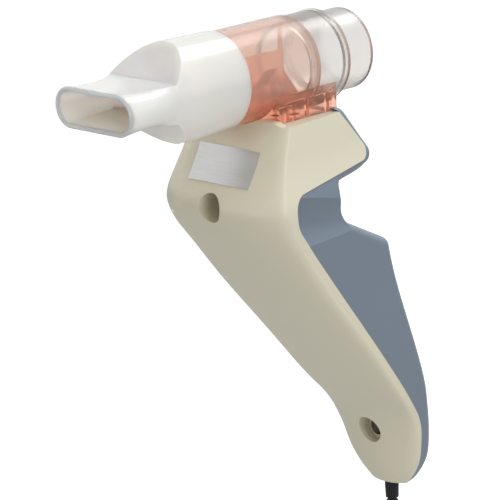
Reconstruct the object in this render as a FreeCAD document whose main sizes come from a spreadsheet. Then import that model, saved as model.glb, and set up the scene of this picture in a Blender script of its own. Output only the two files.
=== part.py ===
import FreeCAD, Part
import math
import os
import Sketcher

# A hand-held spirometer: a breathing tube with a push-on oval mouthpiece sits on the head of a sloping
# two-shell grip. The tube lifts off the head for cleaning and the mouthpiece pulls off the tube.
# The origin is the middle of the grip, +Y points away from the mouthpiece and +Z points up.

Vector = FreeCAD.Vector
Placement = FreeCAD.Placement
Rotation = FreeCAD.Rotation

# The driving dimensions in millimetres and degrees.
SIZES = {
    # The tube frame: its origin is on the tube's axis at the shoulder that the mouthpiece butts on.
    "tube_level": 83.0,
    "tube_front": -43.0,
    # Clearances
    "seam_gap": 0.3,
    "fit_gap": 0.1,
    "slip_gap": 0.06,
    "seat_gap": 0.3,
    # Front half of the flow tube
    "barrel_radius": 16.0,
    "barrel_bore": 13.6,
    "barrel_length": 33.2,
    "spigot_radius": 14.0,
    "spigot_bore": 12.2,
    "spigot_length": 20.0,
    # Rear half of the flow tube
    "tongue_length": 2.0,
    "sleeve_radius": 15.4,
    "sleeve_bore": 13.6,
    "sleeve_length": 13.4,
    "ring_radius": 15.8,
    "ring_width": 1.1,
    "cuff_radius": 14.0,
    "cuff_bore": 12.2,
    "cuff_length": 13.0,
    # Port block under the tube
    "block_half_width": 15.1,
    "block_front": 13.6,
    "block_rear": 40.9,
    "block_top": 6.5,
    "block_base": 17.1,
    "block_lip": 9.2,
    "block_foot": 16.2,
    "rib_width": 0.9,
    "rib_depth": 1.3,
    "front_post": 4.0,
    "rib_pitch": 9.6,
    "nipple_radius": 2.0,
    "nipple_bore": 0.8,
    "nipple_length": 6.5,
    "nipple_front": 20.0,
    "nipple_pitch": 12.0,
    # Pressure probe inside the tube
    "fin_width": 2.4,
    "fin_front": 13.0,
    "fin_rear": 30.0,
    "fin_top": 4.8,
    "gable_front": 23.2,
    "gable_length": 6.3,
    "gable_half_width": 9.6,
    "gable_drop": 10.4,
    "blade_width": 0.9,
    "blade_length": 1.4,
    # Mouthpiece
    "mouth_radius": 16.4,
    "mouth_flare": 0.7,
    "mouth_wall": 1.5,
    "socket_wall": 2.3,
    "socket_length": 20.0,
    "bevel_start": 21.6,
    "bevel_end": 32.2,
    "throat_half_height": 6.4,
    "lip_reach": 54.0,
    "lip_half_width": 18.0,
    "lip_half_height": 6.8,
    "lip_waist": 0.5,
    # Grip shells
    "wall": 2.2,
    "back_reach": 100.0,
    "side_taper": 0.1,
    "corner_width": 6.4,
    "corner_share": 0.4,
    "rear_inset": 0.35,
    "rear_round": 3.0,
    "rail_level": -15.5,
    "brow_top": -13.9,
    "brow_half_width": 14.5,
    "brow_slope": 4.2,
    "saddle_gap": 0.4,
    "recess_front": 13.2,
    "recess_gap": 0.35,
    "panel_thickness": 2.2,
    "foot_level": -161.5,
    "scoop_radius": 12.5,
    "scoop_depth": 4.6,
    "scoop_level": -45.6,
    "scoop_fall": 8.3,
    # Screw wells
    "well_radius": 5.0,
    "well_wall": 1.8,
    "well_floor": 2.0,
    "pillar_radius": 4.0,
    "screw_radius": 1.5,
    "screw_head_radius": 3.1,
    "screw_head_height": 2.2,
    "screw_length": 11.0,
    "upper_well_level": -42.1,
    "upper_well_floor": 9.0,
    "upper_pillar_end": 33.6,
    "lower_well_level": -139.6,
    "lower_well_floor": 72.6,
    "lower_pillar_end": 79.0,
    "lower_screw_length": 6.0,
    # Type label
    "label_width": 28.0,
    "label_height": 13.0,
    "label_level": -28.9,
    "label_thickness": 0.25,
    # Port manifold under the head's top panel
    "manifold_half_width": 11.0,
    "manifold_height": 9.0,
    "manifold_margin": 5.0,
    "seal_radius": 0.62,
    "seal_groove": 1.5,
    "barb_radius": 1.5,
    "barb_length": 6.0,
    "barb_offset": 8.0,
    "hose_radius": 2.5,
    # Electronics, in the grip's own sloping frame
    "grip_tilt": 39.5,
    "board_width": 32.0,
    "board_length": 62.0,
    "board_thickness": 1.6,
    "board_front": -7.0,
    "board_centre": 1.0,
    "boss_radius": 3.0,
    "boss_inset": 4.0,
    "board_screw_radius": 1.1,
    "board_screw_head": 2.1,
    "board_screw_length": 4.0,
    "board_screw_head_height": 1.5,
    "manifold_screw_bite": 1.4,
    "processor_level": -4.0,
    "processor_side": 10.0,
    "chip_height": 1.2,
    "bridge_offset": 9.0,
    "bridge_level": -20.0,
    "bridge_width": 5.0,
    "ambient_level": 6.0,
    "ambient_side": 3.8,
    "crystal_level": -16.0,
    "crystal_width": 4.5,
    "crystal_length": 10.0,
    "crystal_height": 3.5,
    "can_radius": 2.0,
    "can_height": 5.0,
    "can_level": 0.0,
    "can_pitch": 5.0,
    "sensor_width": 12.0,
    "sensor_length": 10.0,
    "sensor_height": 5.0,
    "sensor_level": 17.0,
    "sensor_port_height": 3.2,
    "connector_width": 10.0,
    "connector_length": 7.0,
    "connector_height": 5.8,
    "connector_margin": 3.0,
    "port_spacing": 8.0,
    "port_length": 6.0,
    "port_radius": 1.5,
    # Cable
    "cable_radius": 1.25,
    "cable_exit": 77.7,
    "relief_radius": 2.6,
    "relief_taper": 0.25,
    "relief_barrel": 6.6,
    "relief_pitch": 2.8,
    "relief_ring": 2.2,
    "relief_ring_taper": 0.15,
    "relief_core": 1.6,
    "relief_flange": 4.6,
    "relief_flange_depth": 2.4,
    "relief_flange_height": 1.6,
    "cable_drop": 10.0,
    "inner_bend": 8.0,
    "coil_bend": 7.5,
    "coil_run": 38.0,
    "coil_layers": 4,
    "coil_rows": 3,
    "tie_width": 8.0,
    "tie_thickness": 0.9,
    "plug_width": 15.6,
    "plug_depth": 7.6,
    "plug_length": 21.0,
    "plug_round": 2.2,
    "plug_boot": 7.0,
    "plug_boot_radius": 2.6,
    "plug_drop": 9.0,
    "shell_width": 12.0,
    "shell_depth": 4.5,
    "shell_length": 12.0,
    "shell_buried": 4.0,
    "shell_wall": 0.4,
    "blade_thickness": 1.9,
    "window_side": 2.2,
}

# The grip's front face at each named level of the tube frame: how high the level is, how far back the
# middle of the face lies, how much further back its edge lies, and half the face's width.
STATIONS = {
    "crest": (-8.0, 12.0, 3.5, 19.8),
    "brow": (-18.0, 6.9, 4.0, 22.3),
    "plate": (-28.8, 1.4, 4.7, 24.7),
    "chin": (-41.1, -6.2, 9.6, 28.3),
    "throat": (-50.1, -3.0, 8.2, 28.3),
    "collar": (-60.8, 4.9, 7.8, 27.2),
    "waist": (-77.2, 17.9, 7.1, 26.2),
    "palm": (-98.7, 36.5, 6.3, 25.0),
    "wrist": (-118.3, 53.5, 4.5, 23.1),
    "ankle": (-130.1, 63.0, 4.8, 20.5),
    "heel": (-139.7, 67.0, 5.5, 18.5),
    "sole": (-149.3, 69.0, 5.9, 16.2),
    "toe": (-155.6, 70.6, 5.6, 12.8),
    "tip": (-160.8, 73.0, 4.2, 8.4),
}
STATION_TERMS = ("level", "reach", "crown", "half")

# Corners of the parting line between the shells, seen from the side: reach, level and corner radius.
PARTING = {
    "part_top": (37.0, -14.4, 4.0),
    "part_nose": (51.3, -32.7, 3.5),
    "part_notch": (6.9, -37.6, 6.0),
    "part_neck": (6.9, -47.5, 10.0),
    "part_heel": (73.6, -134.3, 25.0),
    "part_foot": (77.7, -165.0, 0.0),
}
# Corners of the rear shell's back, seen from the side.
BACK = {
    "back_top": (40.5, -14.4, 5.0),
    "back_nose": (54.7, -34.6, 4.0),
    "back_notch": (31.9, -38.4, 1.5),
    "back_neck": (31.9, -50.6, 8.0),
    "back_shelf": (57.3, -63.3, 4.0),
    "back_palm": (68.3, -99.5, 0.0),
    "back_heel": (78.8, -130.0, 0.0),
    "back_foot": (82.5, -161.5, 4.0),
}
CORNER_TERMS = ("reach", "level", "round")

document = FreeCAD.newDocument("spirometer")
sheet = document.addObject("Spreadsheet::Sheet", "size")


def fill_sheet():
    """Writes every driving dimension into the sheet under its own name."""
    rows = dict(SIZES)
    for table, terms in ((STATIONS, STATION_TERMS), (PARTING, CORNER_TERMS), (BACK, CORNER_TERMS)):
        for name, values in table.items():
            for term, value in zip(terms, values):
                rows[f"{name}_{term}"] = value
    for row, (name, value) in enumerate(rows.items(), start=1):
        sheet.set(f"A{row}", name)
        sheet.set(f"B{row}", str(value))
        sheet.setAlias(f"B{row}", name)
    document.recompute()


fill_sheet()
size = sheet.get
nodes = []


def node(item, label):
    """Registers a finished sub-part under the name that its file gets."""
    item.Label = label
    nodes.append(item)
    return item


def bind(item, **cells):
    """Binds properties to expressions on the sheet; two underscores stand for a dot."""
    for name, text in cells.items():
        item.setExpression(name.replace("__", "."), text)
    return item


def at(item, x="0", y="0", z="0"):
    """Binds the place of an object."""
    return bind(item, Placement__Base__x=x, Placement__Base__y=y, Placement__Base__z=z)


def turn(item, angle, axis):
    """Turns an object about an axis through its own place."""
    item.Placement = Placement(Vector(), Rotation(Vector(*axis), angle))
    return item


def in_tube(item, y="0", z="0"):
    """Places an object whose origin is in the tube frame."""
    return at(item, "0", f"size.tube_front + ({y})", f"size.tube_level + ({z})")


def box(name, corner, sides):
    """A Part box from expressions for its low corner and its sides."""
    item = document.addObject("Part::Box", name)
    bind(item, Length=sides[0], Width=sides[1], Height=sides[2])
    return at(item, *corner)


def rod(name, radius, length, base, axis="z"):
    """A Part cylinder from expressions, along the named axis."""
    item = document.addObject("Part::Cylinder", name)
    if axis == "y":
        turn(item, -90, (1, 0, 0))
    if axis == "x":
        turn(item, 90, (0, 1, 0))
    bind(item, Radius=radius, Height=length)
    return at(item, *base)


def joined(name, parts):
    item = document.addObject("Part::MultiFuse", name)
    item.Shapes = parts
    item.Refine = True
    return item


def cut(name, base, tools):
    item = document.addObject("Part::Cut", name)
    item.Base = base
    item.Tool = tools[0] if len(tools) == 1 else joined(f"{name}_tools", tools)
    item.Refine = True
    return item


def common(name, one, other):
    item = document.addObject("Part::MultiCommon", name)
    item.Shapes = [one, other]
    return item


def body(name):
    return document.addObject("PartDesign::Body", name)


def origin_plane(owner, role):
    return [feature for feature in owner.Origin.OriginFeatures if feature.Role == role][0]


def sketch_on(owner, name, role):
    """An empty sketch on one of the body's own origin planes."""
    sketch = owner.newObject("Sketcher::SketchObject", name)
    sketch.AttachmentSupport = [(origin_plane(owner, role), "")]
    sketch.MapMode = "FlatFace"
    return sketch


def polygon(owner, name, role, corners):
    """A closed sketch whose corners are bound to pairs of expressions."""
    sketch = sketch_on(owner, name, role)
    count = len(corners)
    start = [Vector(math.cos(2 * math.pi * i / count), math.sin(2 * math.pi * i / count), 0) for i in range(count)]
    for i in range(count):
        sketch.addGeometry(Part.LineSegment(start[i], start[(i + 1) % count]))
    for i in range(count):
        sketch.addConstraint(Sketcher.Constraint("Coincident", i, 2, (i + 1) % count, 1))
    for i, pair in enumerate(corners):
        for kind, text, value in zip(("DistanceX", "DistanceY"), pair, (start[i].x, start[i].y)):
            index = sketch.addConstraint(Sketcher.Constraint(kind, -1, 1, i, 1, value))
            sketch.setExpression(f"Constraints[{index}]", text)
    return sketch


def circles(owner, name, role, rings):
    """A sketch of circles, each from expressions for its centre and radius."""
    sketch = sketch_on(owner, name, role)
    for i, (x, y, radius) in enumerate(rings):
        sketch.addGeometry(Part.Circle(Vector(i + 1, i + 1, 0), Vector(0, 0, 1), 1))
        for kind, text in (("DistanceX", x), ("DistanceY", y)):
            index = sketch.addConstraint(Sketcher.Constraint(kind, -1, 1, i, 3, float(i + 1)))
            sketch.setExpression(f"Constraints[{index}]", text)
        index = sketch.addConstraint(Sketcher.Constraint("Radius", i, 1.0))
        sketch.setExpression(f"Constraints[{index}]", radius)
    return sketch


def revolved(name, corners):
    """A body turned about its own Z axis from a profile of radius and height."""
    owner = body(name)
    profile = polygon(owner, f"{name}_profile", "XZ_Plane", corners)
    feature = owner.newObject("PartDesign::Revolution", f"{name}_turn")
    feature.Profile = profile
    feature.ReferenceAxis = (profile, ["V_Axis"])
    feature.Angle = 360
    return owner


def padded(name, corners, length, role="XY_Plane"):
    """A body padded from a closed profile."""
    owner = body(name)
    profile = polygon(owner, f"{name}_profile", role, corners)
    feature = owner.newObject("PartDesign::Pad", f"{name}_pad")
    feature.Profile = profile
    bind(feature, Length=length)
    return owner


def pocketed(owner, name, sketch, length=None):
    """Cuts a sketch's outline out of a body, through all of it or to a depth."""
    feature = owner.newObject("PartDesign::Pocket", name)
    feature.Profile = sketch
    feature.Midplane = length is None
    if length is None:
        feature.Type = 1
    else:
        bind(feature, Length=length)
    return feature


def along_tube(item, y="0"):
    """Lays an object that is turned about Z along the tube's axis, starting at y in the tube frame."""
    turn(item, -90, (1, 0, 0))
    return in_tube(item, y)


def formed(name, shape, y=0.0, z=0.0):
    """A free-form shape that is made with Part's own functions in the tube frame."""
    item = document.addObject("Part::Feature", name)
    item.Shape = shape
    item.Placement = Placement(Vector(0, size("tube_front") + y, size("tube_level") + z), Rotation())
    return item


# The grip's moulded form

def smooth_corner(start, pole, end):
    curve = Part.BezierCurve()
    curve.setPoles([start, pole, end])
    return curve.toShape()


def station(name):
    return [size(f"{name}_{term}") for term in STATION_TERMS]


def face_section(level, reach, crown, half):
    """The D-shaped outline of the grip at one level: a crowned face, rounded edges and straight sides."""
    edge = half - size("corner_width") * half / station("chin")[3]
    rise = size("corner_share") * crown
    bow = (edge * edge + rise * rise) / (2 * rise)
    pole_rise = rise + edge / (bow - rise) * (half - edge)
    back = size("back_reach")
    back_half = half - size("side_taper") * (back - reach - crown)

    def point(x, y):
        return Vector(x, reach + y, level)

    left_side, right_side = point(-half, crown), point(half, crown)
    left_back, right_back = Vector(-back_half, back, level), Vector(back_half, back, level)
    return Part.Wire([
        Part.Arc(point(-edge, rise), point(0, 0), point(edge, rise)).toShape(),
        smooth_corner(point(edge, rise), point(half, pole_rise), right_side),
        Part.makeLine(right_side, right_back),
        Part.makeLine(right_back, left_back),
        Part.makeLine(left_back, left_side),
        smooth_corner(left_side, point(-half, pole_rise), point(-edge, rise)),
    ])


def grip_line():
    """The stations with evenly eased ones between them, so that the loft through them doesn't waver."""
    rows = [station(name) for name in STATIONS]
    steps = 3
    line = []
    for i in range(len(rows) - 1):
        before, start = rows[max(i - 1, 0)], rows[i]
        end, after = rows[i + 1], rows[min(i + 2, len(rows) - 1)]
        for k in range(steps):
            t = k / steps
            line.append([
                b + 0.5 * t * (c - a + t * (2 * a - 5 * b + 4 * c - d + t * (3 * b - a - 3 * c + d)))
                for a, b, c, d in zip(before, start, end, after)
            ])
    return line + [rows[-1]]


def grip_form(side_inset, face_inset, degree=2):
    """The grip as one loft through all stations, with its sides and its face moved inwards."""
    places = grip_line()
    sections = []
    for i, (level, reach, crown, half) in enumerate(places):
        above, below = places[max(i - 1, 0)], places[min(i + 1, len(places) - 1)]
        run = Vector(0, below[1] - above[1], below[0] - above[0])
        run.normalize()
        sections.append(face_section(level + face_inset * run.y, reach - face_inset * run.z, crown, half - side_inset))
    return Part.makeLoft(sections, True, False, False, degree)


def offset_corners(corners, inset):
    """The corners of a side outline after each of its sides has moved inwards by inset."""
    sides = []
    for (y0, z0, _), (y1, z1, _) in zip(corners, corners[1:] + corners[:1]):
        run = Vector(0, y1 - y0, z1 - z0)
        run.normalize()
        sides.append((Vector(0, y0, z0) + Vector(0, run.z, -run.y) * inset, run))
    places = []
    for (start, before), (other, after) in zip(sides[-1:] + sides[:-1], sides):
        turned = before.y * after.z - before.z * after.y
        along = ((other.y - start.y) * after.z - (other.z - start.z) * after.y) / turned
        places.append(start + before * along)
    return places


def side_outline(corners, inset=0.0):
    """A prism across the grip from rounded corners in the side view, moved inwards by inset."""
    places = offset_corners(corners, inset)
    count = len(places)
    ends = []
    for i, place in enumerate(places):
        before = (place - places[i - 1]).normalize()
        after = (places[(i + 1) % count] - place).normalize()
        convex = before.y * after.z - before.z * after.y < 0
        radius = corners[i][2] + (-inset if convex else inset)
        if corners[i][2] == 0 or radius < 0.2:
            ends.append((place, place, None))
            continue
        half_turn = math.acos(max(-1.0, min(1.0, before.dot(after)))) / 2
        back_off = radius * math.tan(half_turn)
        middle = place + (after - before).normalize() * (radius / math.cos(half_turn) - radius)
        ends.append((place - before * back_off, place + after * back_off, middle))
    edges = []
    for i, (start, end, middle) in enumerate(ends):
        if middle is not None:
            edges.append(Part.Arc(start, middle, end).toShape())
        edges.append(Part.makeLine(end, ends[(i + 1) % count][0]))
    return across_grip(Part.Face(Part.Wire(edges)))


def corners_of(table):
    return [tuple(size(f"{name}_{term}") for term in CORNER_TERMS) for name in table]


def parting_prism(grow=0.0):
    """Everything ahead of the parting line, grown outwards by grow."""
    far = -size("back_reach")
    top = size("part_top_level")
    low = size("part_foot_level")
    ring = [(far, top, 0.0)] + corners_of(PARTING) + [(far, low, 0.0)]
    return side_outline(ring, -grow)


def back_form(inset=0.0):
    """Everything ahead of the rear shell's back: flat faces on the head and one smooth curve down the grip."""
    far = -size("back_reach")
    rows = [(far, size("back_top_level"), 0.0)] + corners_of(BACK) + [(far, size("back_foot_level"), 0.0)]
    places = offset_corners(rows, inset)
    top = list(BACK).index("back_shelf") + 1
    curve = Part.BSplineCurve()
    curve.interpolate(places[top:-1])
    straight = places[:top + 1]
    edges = [Part.makeLine(one, other) for one, other in zip(straight, straight[1:])]
    edges += [curve.toShape(), Part.makeLine(places[-2], places[-1]), Part.makeLine(places[-1], places[0])]
    form = across_grip(Part.Face(Part.Wire(edges)))
    for (_, _, radius), place in zip(rows, places):
        if radius > inset + 0.5:
            form = form.makeFillet(radius - inset, [edge for edge in form.Edges if passes(edge, place)])
    return form


def passes(edge, place):
    """Whether an edge runs straight across the grip through a place of the side view."""
    start = edge.valueAt(edge.FirstParameter)
    end = edge.valueAt(edge.LastParameter)
    if abs(start.x - end.x) < size("back_reach"):
        return False
    return math.hypot(start.y - place.y, start.z - place.z) < 0.01


def across_grip(face):
    """Extrudes a face of the side view over the whole width of the grip."""
    half = size("chin_half") + size("back_reach")
    face.translate(Vector(-half, 0, 0))
    return face.extrude(Vector(2 * half, 0, 0))


def slab(low, high):
    """A box that fills the grip's width between two levels."""
    reach = 2 * size("back_reach")
    return Part.makeBox(reach, 2 * reach, high - low, Vector(-reach / 2, -reach, low))


def cross_rod(radius, start, end, x, level):
    """A cylinder along Y between two reaches."""
    return Part.makeCylinder(radius, end - start, Vector(x, start, level), Vector(0, 1, 0))


def cavity():
    """The space inside both shells, kept a wall away from the finger scoops."""
    wall = size("wall")
    ceiling = size("recess_floor_level") - size("panel_thickness")
    room = grip_form(wall, wall).common(back_form(wall)).common(slab(size("foot_level") + wall, ceiling))
    for side in (-1, 1):
        room = room.cut(scoop(side, wall, size("part_notch_reach")))
    return room


def scoop(side, grow, start):
    """The hollow for a finger beside the neck, as a cylinder that falls towards the back."""
    x = side * (size("throat_half") - size("scoop_depth") + size("scoop_radius"))
    middle = size("part_notch_reach")
    rod = cross_rod(size("scoop_radius") + grow, start, size("back_reach"), x, size("scoop_level"))
    rod.rotate(Vector(x, middle, size("scoop_level")), Vector(1, 0, 0), -size("scoop_fall"))
    return rod


sheet.set("D1", "=-(block_base + seat_gap)")
sheet.setAlias("D1", "recess_floor_level")
document.recompute()


def block_recess():
    """The bed of the port block in the head, open to the rear."""
    half = size("block_half_width") + size("recess_gap")
    front = size("recess_front")
    floor = size("recess_floor_level")
    return Part.makeBox(2 * half, size("back_reach"), -floor, Vector(-half, front, floor))


def head_trim():
    """What comes off above the head: over the side rails, beside the brow and under the tube."""
    rail = size("rail_level")
    brow = size("brow_top")
    front = size("recess_front")
    half = size("brow_half_width")
    slope = size("brow_slope")
    far = size("back_reach")
    above_rails = Part.makeBox(2 * far, far, far, Vector(-far, front, rail))
    above_brow = Part.makeBox(2 * far, 2 * far, far, Vector(-far, -far, brow))
    trim = above_rails.fuse(above_brow)
    for side in (-1, 1):
        ring = [(half, brow), (half + slope, rail), (far, rail), (far, brow + far), (half, brow + far), (half, brow)]
        face = Part.Face(Part.makePolygon([Vector(side * x, -far, z) for x, z in ring]))
        trim = trim.fuse(face.extrude(Vector(0, 2 * far, 0)))
    saddle = cross_rod(size("barrel_radius") + size("saddle_gap"), -far, far, 0, 0)
    return trim.fuse(saddle)


def wells():
    """(level, reach of the well's floor, reach of the pillar's root, screw length) for the two screws."""
    return [
        (size("upper_well_level"), size("upper_well_floor"), size("upper_pillar_end"), size("screw_length")),
        (size("lower_well_level"), size("lower_well_floor"), size("lower_pillar_end"), size("lower_screw_length")),
    ]


def to_grip(shape):
    """Moves a shape from the grip's sloping frame into the tube frame."""
    moved = shape.copy()
    tilt = Placement(Vector(0, -size("tube_front"), -size("tube_level")), Rotation(Vector(1, 0, 0), size("grip_tilt")))
    moved.Placement = tilt.multiply(moved.Placement)
    return moved


def boss_places():
    """The board's four screws in the grip's frame: x and height along the grip."""
    x = size("board_width") / 2 - size("boss_inset")
    z = size("board_length") / 2 - size("boss_inset")
    return [(sx * x, size("board_centre") + sz * z) for sx in (-1, 1) for sz in (-1, 1)]


def front_shell():
    """The cream front shell with its screw wells, board bosses and the bed for the port block."""
    form = grip_form(0, 0)
    shell = form.common(parting_prism()).common(slab(size("foot_level"), 0))
    shell = shell.cut(head_trim())
    blank = shell.copy()
    shell = shell.cut(cavity())
    thick = size("well_radius") + size("well_wall")
    far = size("back_reach")
    for level, floor, _, _ in wells():
        tower = cross_rod(thick, -far, floor + size("well_floor"), 0, level)
        shell = shell.fuse(tower.common(blank))
    root = size("board_front") - far
    for x, z in boss_places():
        boss = Part.makeCylinder(size("boss_radius"), far, Vector(x, root, z), Vector(0, 1, 0))
        shell = shell.fuse(to_grip(boss).common(blank))
    for x, z in boss_places():
        pilot = Part.makeCylinder(size("board_screw_radius") + size("slip_gap"), size("board_screw_length") + 3 * size("slip_gap"),
                                  Vector(x, size("board_front") + size("slip_gap"), z), Vector(0, -1, 0))
        shell = shell.cut(to_grip(pilot))
    for level, floor, _, _ in wells():
        shell = shell.cut(cross_rod(size("well_radius"), -far, floor, 0, level))
        shell = shell.cut(cross_rod(size("screw_radius") + size("fit_gap"), 0, far, 0, level))
    shell = shell.cut(block_recess())
    for place in range(2):
        y = size("nipple_front") + place * size("nipple_pitch")
        hole = Part.makeCylinder(size("nipple_radius") + size("seat_gap"), size("back_reach"), Vector(0, y, 0), Vector(0, 0, -1))
        shell = shell.cut(hole.common(slab(size("recess_floor_level") - 2 * size("panel_thickness"), 0)))
    ceiling = size("recess_floor_level") - size("panel_thickness")
    for place, side in ((0, 1), (1, -1)):
        y = size("nipple_front") + place * size("nipple_pitch")
        pilot = Part.makeCylinder(size("board_screw_radius") + size("slip_gap"), size("manifold_screw_bite") + size("slip_gap"),
                                  Vector(side * size("barb_offset"), y, ceiling))
        shell = shell.cut(pilot)
    return shell.cut(gland_hole()).removeSplitter()


def gland_hole():
    """The hole in the grip's foot that the strain relief is clamped in."""
    radius = size("relief_radius") + size("seat_gap")
    low = size("foot_level")
    deep = 3 * size("wall")
    return Part.makeCylinder(radius, 2 * deep, Vector(0, size("cable_exit"), low - deep))


def rear_shell():
    """The blue rear shell with its finger scoops and the pillars that the screws bite into."""
    inset = size("rear_inset")
    far = size("back_reach")
    shell = grip_form(inset, 0, 3).common(back_form()).common(slab(size("foot_level") + size("rear_inset"), 0))
    edges = [edge for edge in shell.Edges if on_back(edge)]
    shell = shell.makeFillet(size("rear_round"), edges)
    shell = shell.cut(parting_prism(size("seam_gap")))
    for side in (-1, 1):
        shell = shell.cut(scoop(side, 0, -far))
    blank = shell.copy()
    shell = shell.cut(cavity())
    for level, floor, root, _ in wells():
        start = floor + size("well_floor") + size("fit_gap")
        shell = shell.fuse(cross_rod(size("pillar_radius"), start, root, 0, level))
    for level, floor, _, length in wells():
        shell = shell.cut(cross_rod(size("screw_radius") + size("slip_gap"), floor, floor + length + size("fit_gap"), 0, level))
    shell = shell.cut(block_recess())
    return shell.cut(gland_hole()).removeSplitter()


def on_back(edge):
    """Whether an edge runs down the back of the grip, where a side meets the back."""
    start = edge.valueAt(edge.FirstParameter)
    end = edge.valueAt(edge.LastParameter)
    middle = edge.valueAt((edge.FirstParameter + edge.LastParameter) / 2)
    if abs(start.x - end.x) > 0.8 * edge.Length or abs(middle.x) < size("cable_radius"):
        return False
    if middle.z > size("part_top_level") - size("rear_round") or middle.z < size("foot_level") + size("wall"):
        return False
    return middle.y > size("back_notch_reach") - 1 and edge.Length < size("back_reach")


# Free-form pieces

def bent_path(points, bend):
    """A wire of straight runs joined by tangent arcs, each as wide as its runs allow, up to bend."""
    edges = []
    last = points[0]
    for before, place, after in zip(points, points[1:], points[2:]):
        inward = (place - before).normalize()
        outward = (after - place).normalize()
        half_turn = math.acos(max(-1.0, min(1.0, inward.dot(outward)))) / 2
        room = 0.45 * min(place.distanceToPoint(before), place.distanceToPoint(after))
        radius = min(bend, room / math.tan(half_turn))
        back_off = radius * math.tan(half_turn)
        start, end = place - inward * back_off, place + outward * back_off
        middle = place + (outward - inward).normalize() * (radius / math.cos(half_turn) - radius)
        edges += [Part.makeLine(last, start), Part.Arc(start, middle, end).toShape()]
        last = end
    edges.append(Part.makeLine(last, points[-1]))
    return Part.Wire(edges)


def swept(points, bend, outer, inner=0.0):
    """A round wire or hose along a bent path."""
    path = bent_path(points, bend)
    along = (points[1] - points[0]).normalize()
    solid = None
    for radius in (outer, inner):
        if radius <= 0:
            continue
        ring = Part.Wire([Part.makeCircle(radius, points[0], along)])
        pipe = path.makePipeShell([ring], True, False)
        solid = pipe if solid is None else solid.cut(pipe)
    return solid


def lip_section(y, half_width, half_height):
    """A stadium across the mouthpiece at y, as top line, side arc, bottom line and side arc."""
    flat = half_width - half_height

    def spot(x, z):
        return Vector(x, y, z)

    return Part.Wire([
        Part.makeLine(spot(-flat, half_height), spot(flat, half_height)),
        Part.Arc(spot(flat, half_height), spot(half_width, 0), spot(flat, -half_height)).toShape(),
        Part.makeLine(spot(flat, -half_height), spot(-flat, -half_height)),
        Part.Arc(spot(-flat, -half_height), spot(-half_width, 0), spot(-flat, half_height)).toShape(),
    ])


def throat_section(y, radius, half_height):
    """A circle with flats above and below, with the same four edges as the lip."""
    flat = math.sqrt(radius ** 2 - half_height ** 2)

    def spot(x, z):
        return Vector(x, y, z)

    return Part.Wire([
        Part.makeLine(spot(-flat, half_height), spot(flat, half_height)),
        Part.Arc(spot(flat, half_height), spot(radius, 0), spot(flat, -half_height)).toShape(),
        Part.makeLine(spot(flat, -half_height), spot(-flat, -half_height)),
        Part.Arc(spot(-flat, -half_height), spot(-radius, 0), spot(-flat, half_height)).toShape(),
    ])


def mouth_form(inset, start, end):
    """The mouthpiece's outside, or its inside when inset: a bevelled cone that runs into an oval lip."""
    wide = size("mouth_radius") + size("mouth_flare") - inset
    narrow = size("mouth_radius") - inset if inset == 0 else size("spigot_radius") - size("seat_gap")
    crease = size("bevel_end")
    half_height = size("throat_half_height") - inset
    low = half_height - inset * (math.sqrt(2) - 1)
    cone = Part.makeCone(narrow, wide, crease - start, Vector(0, -start, 0), Vector(0, -1, 0))
    rise = 2 * wide
    run = size("bevel_end") - size("bevel_start")
    drop = size("mouth_radius") - size("throat_half_height")
    for side in (-1, 1):
        ring = [(-crease, low), (-crease + run / drop * rise, low + rise), (-crease, low + rise), (-crease, low)]
        wedge = Part.Face(Part.makePolygon([Vector(-rise, y, side * z) for y, z in ring]))
        cone = cone.cut(wedge.extrude(Vector(2 * rise, 0, 0)))
    waist = (crease + size("lip_reach")) / 2
    middle_width = (wide + size("lip_half_width") - inset) / 2
    middle_height = min(half_height, size("lip_half_height") - inset) - size("lip_waist")
    lip = Part.makeLoft([
        throat_section(-crease, wide, half_height),
        lip_section(-waist, middle_width, middle_height),
        lip_section(-end, size("lip_half_width") - inset, size("lip_half_height") - inset),
    ], True, False, False, 2)
    return cone.fuse(lip)


def mouthpiece():
    """The push-on mouthpiece: a round socket for the spigot that narrows to an oval lip."""
    reach = size("lip_reach")
    socket = size("socket_length") + size("seat_gap")
    shell = mouth_form(0.0, 0.0, reach)
    bore = Part.makeCylinder(size("spigot_radius") + size("slip_gap"), socket, Vector(), Vector(0, -1, 0))
    inside = mouth_form(size("mouth_wall"), socket, reach)
    mouth = lip_section(-reach + size("seat_gap"), size("lip_half_width") - size("mouth_wall"),
                        size("lip_half_height") - size("mouth_wall"))
    opening = Part.Face(mouth).extrude(Vector(0, -2 * size("seat_gap"), 0))
    return shell.cut(bore).cut(inside).cut(opening)


def coil_half_depth():
    return size("coil_rows") * size("cable_radius")


def coil_outer():
    """The outer radius of the hank's bends."""
    return size("coil_bend") - size("cable_radius") + 2 * size("cable_radius") * size("coil_layers")


def coil_top():
    """The level of the hank's top in the tube frame."""
    return size("foot_level") - size("relief_barrel") - 4 * size("relief_pitch") - size("cable_drop")


def stadium(radius, run, depth, middle):
    """An upright stadium-shaped plate, centred on middle, with its depth along Y."""
    low = middle + Vector(0, -depth / 2, -run / 2)
    plate = Part.makeBox(2 * radius, depth, run, low - Vector(radius, 0, 0))
    for end in (low, low + Vector(0, 0, run)):
        plate = plate.fuse(Part.makeCylinder(radius, depth, end, Vector(0, 1, 0)))
    return plate


def coil_middle():
    return Vector(0, size("cable_exit"), coil_top() - coil_outer() - size("coil_run") / 2)


def cable_hank():
    """The spare length of the cable, folded into upright turns that lie side by side."""
    depth = 2 * coil_half_depth()
    inner = size("coil_bend") - size("cable_radius")
    outside = stadium(coil_outer(), size("coil_run"), depth, coil_middle())
    return outside.cut(stadium(inner, size("coil_run"), 2 * depth, coil_middle())).removeSplitter()


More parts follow.
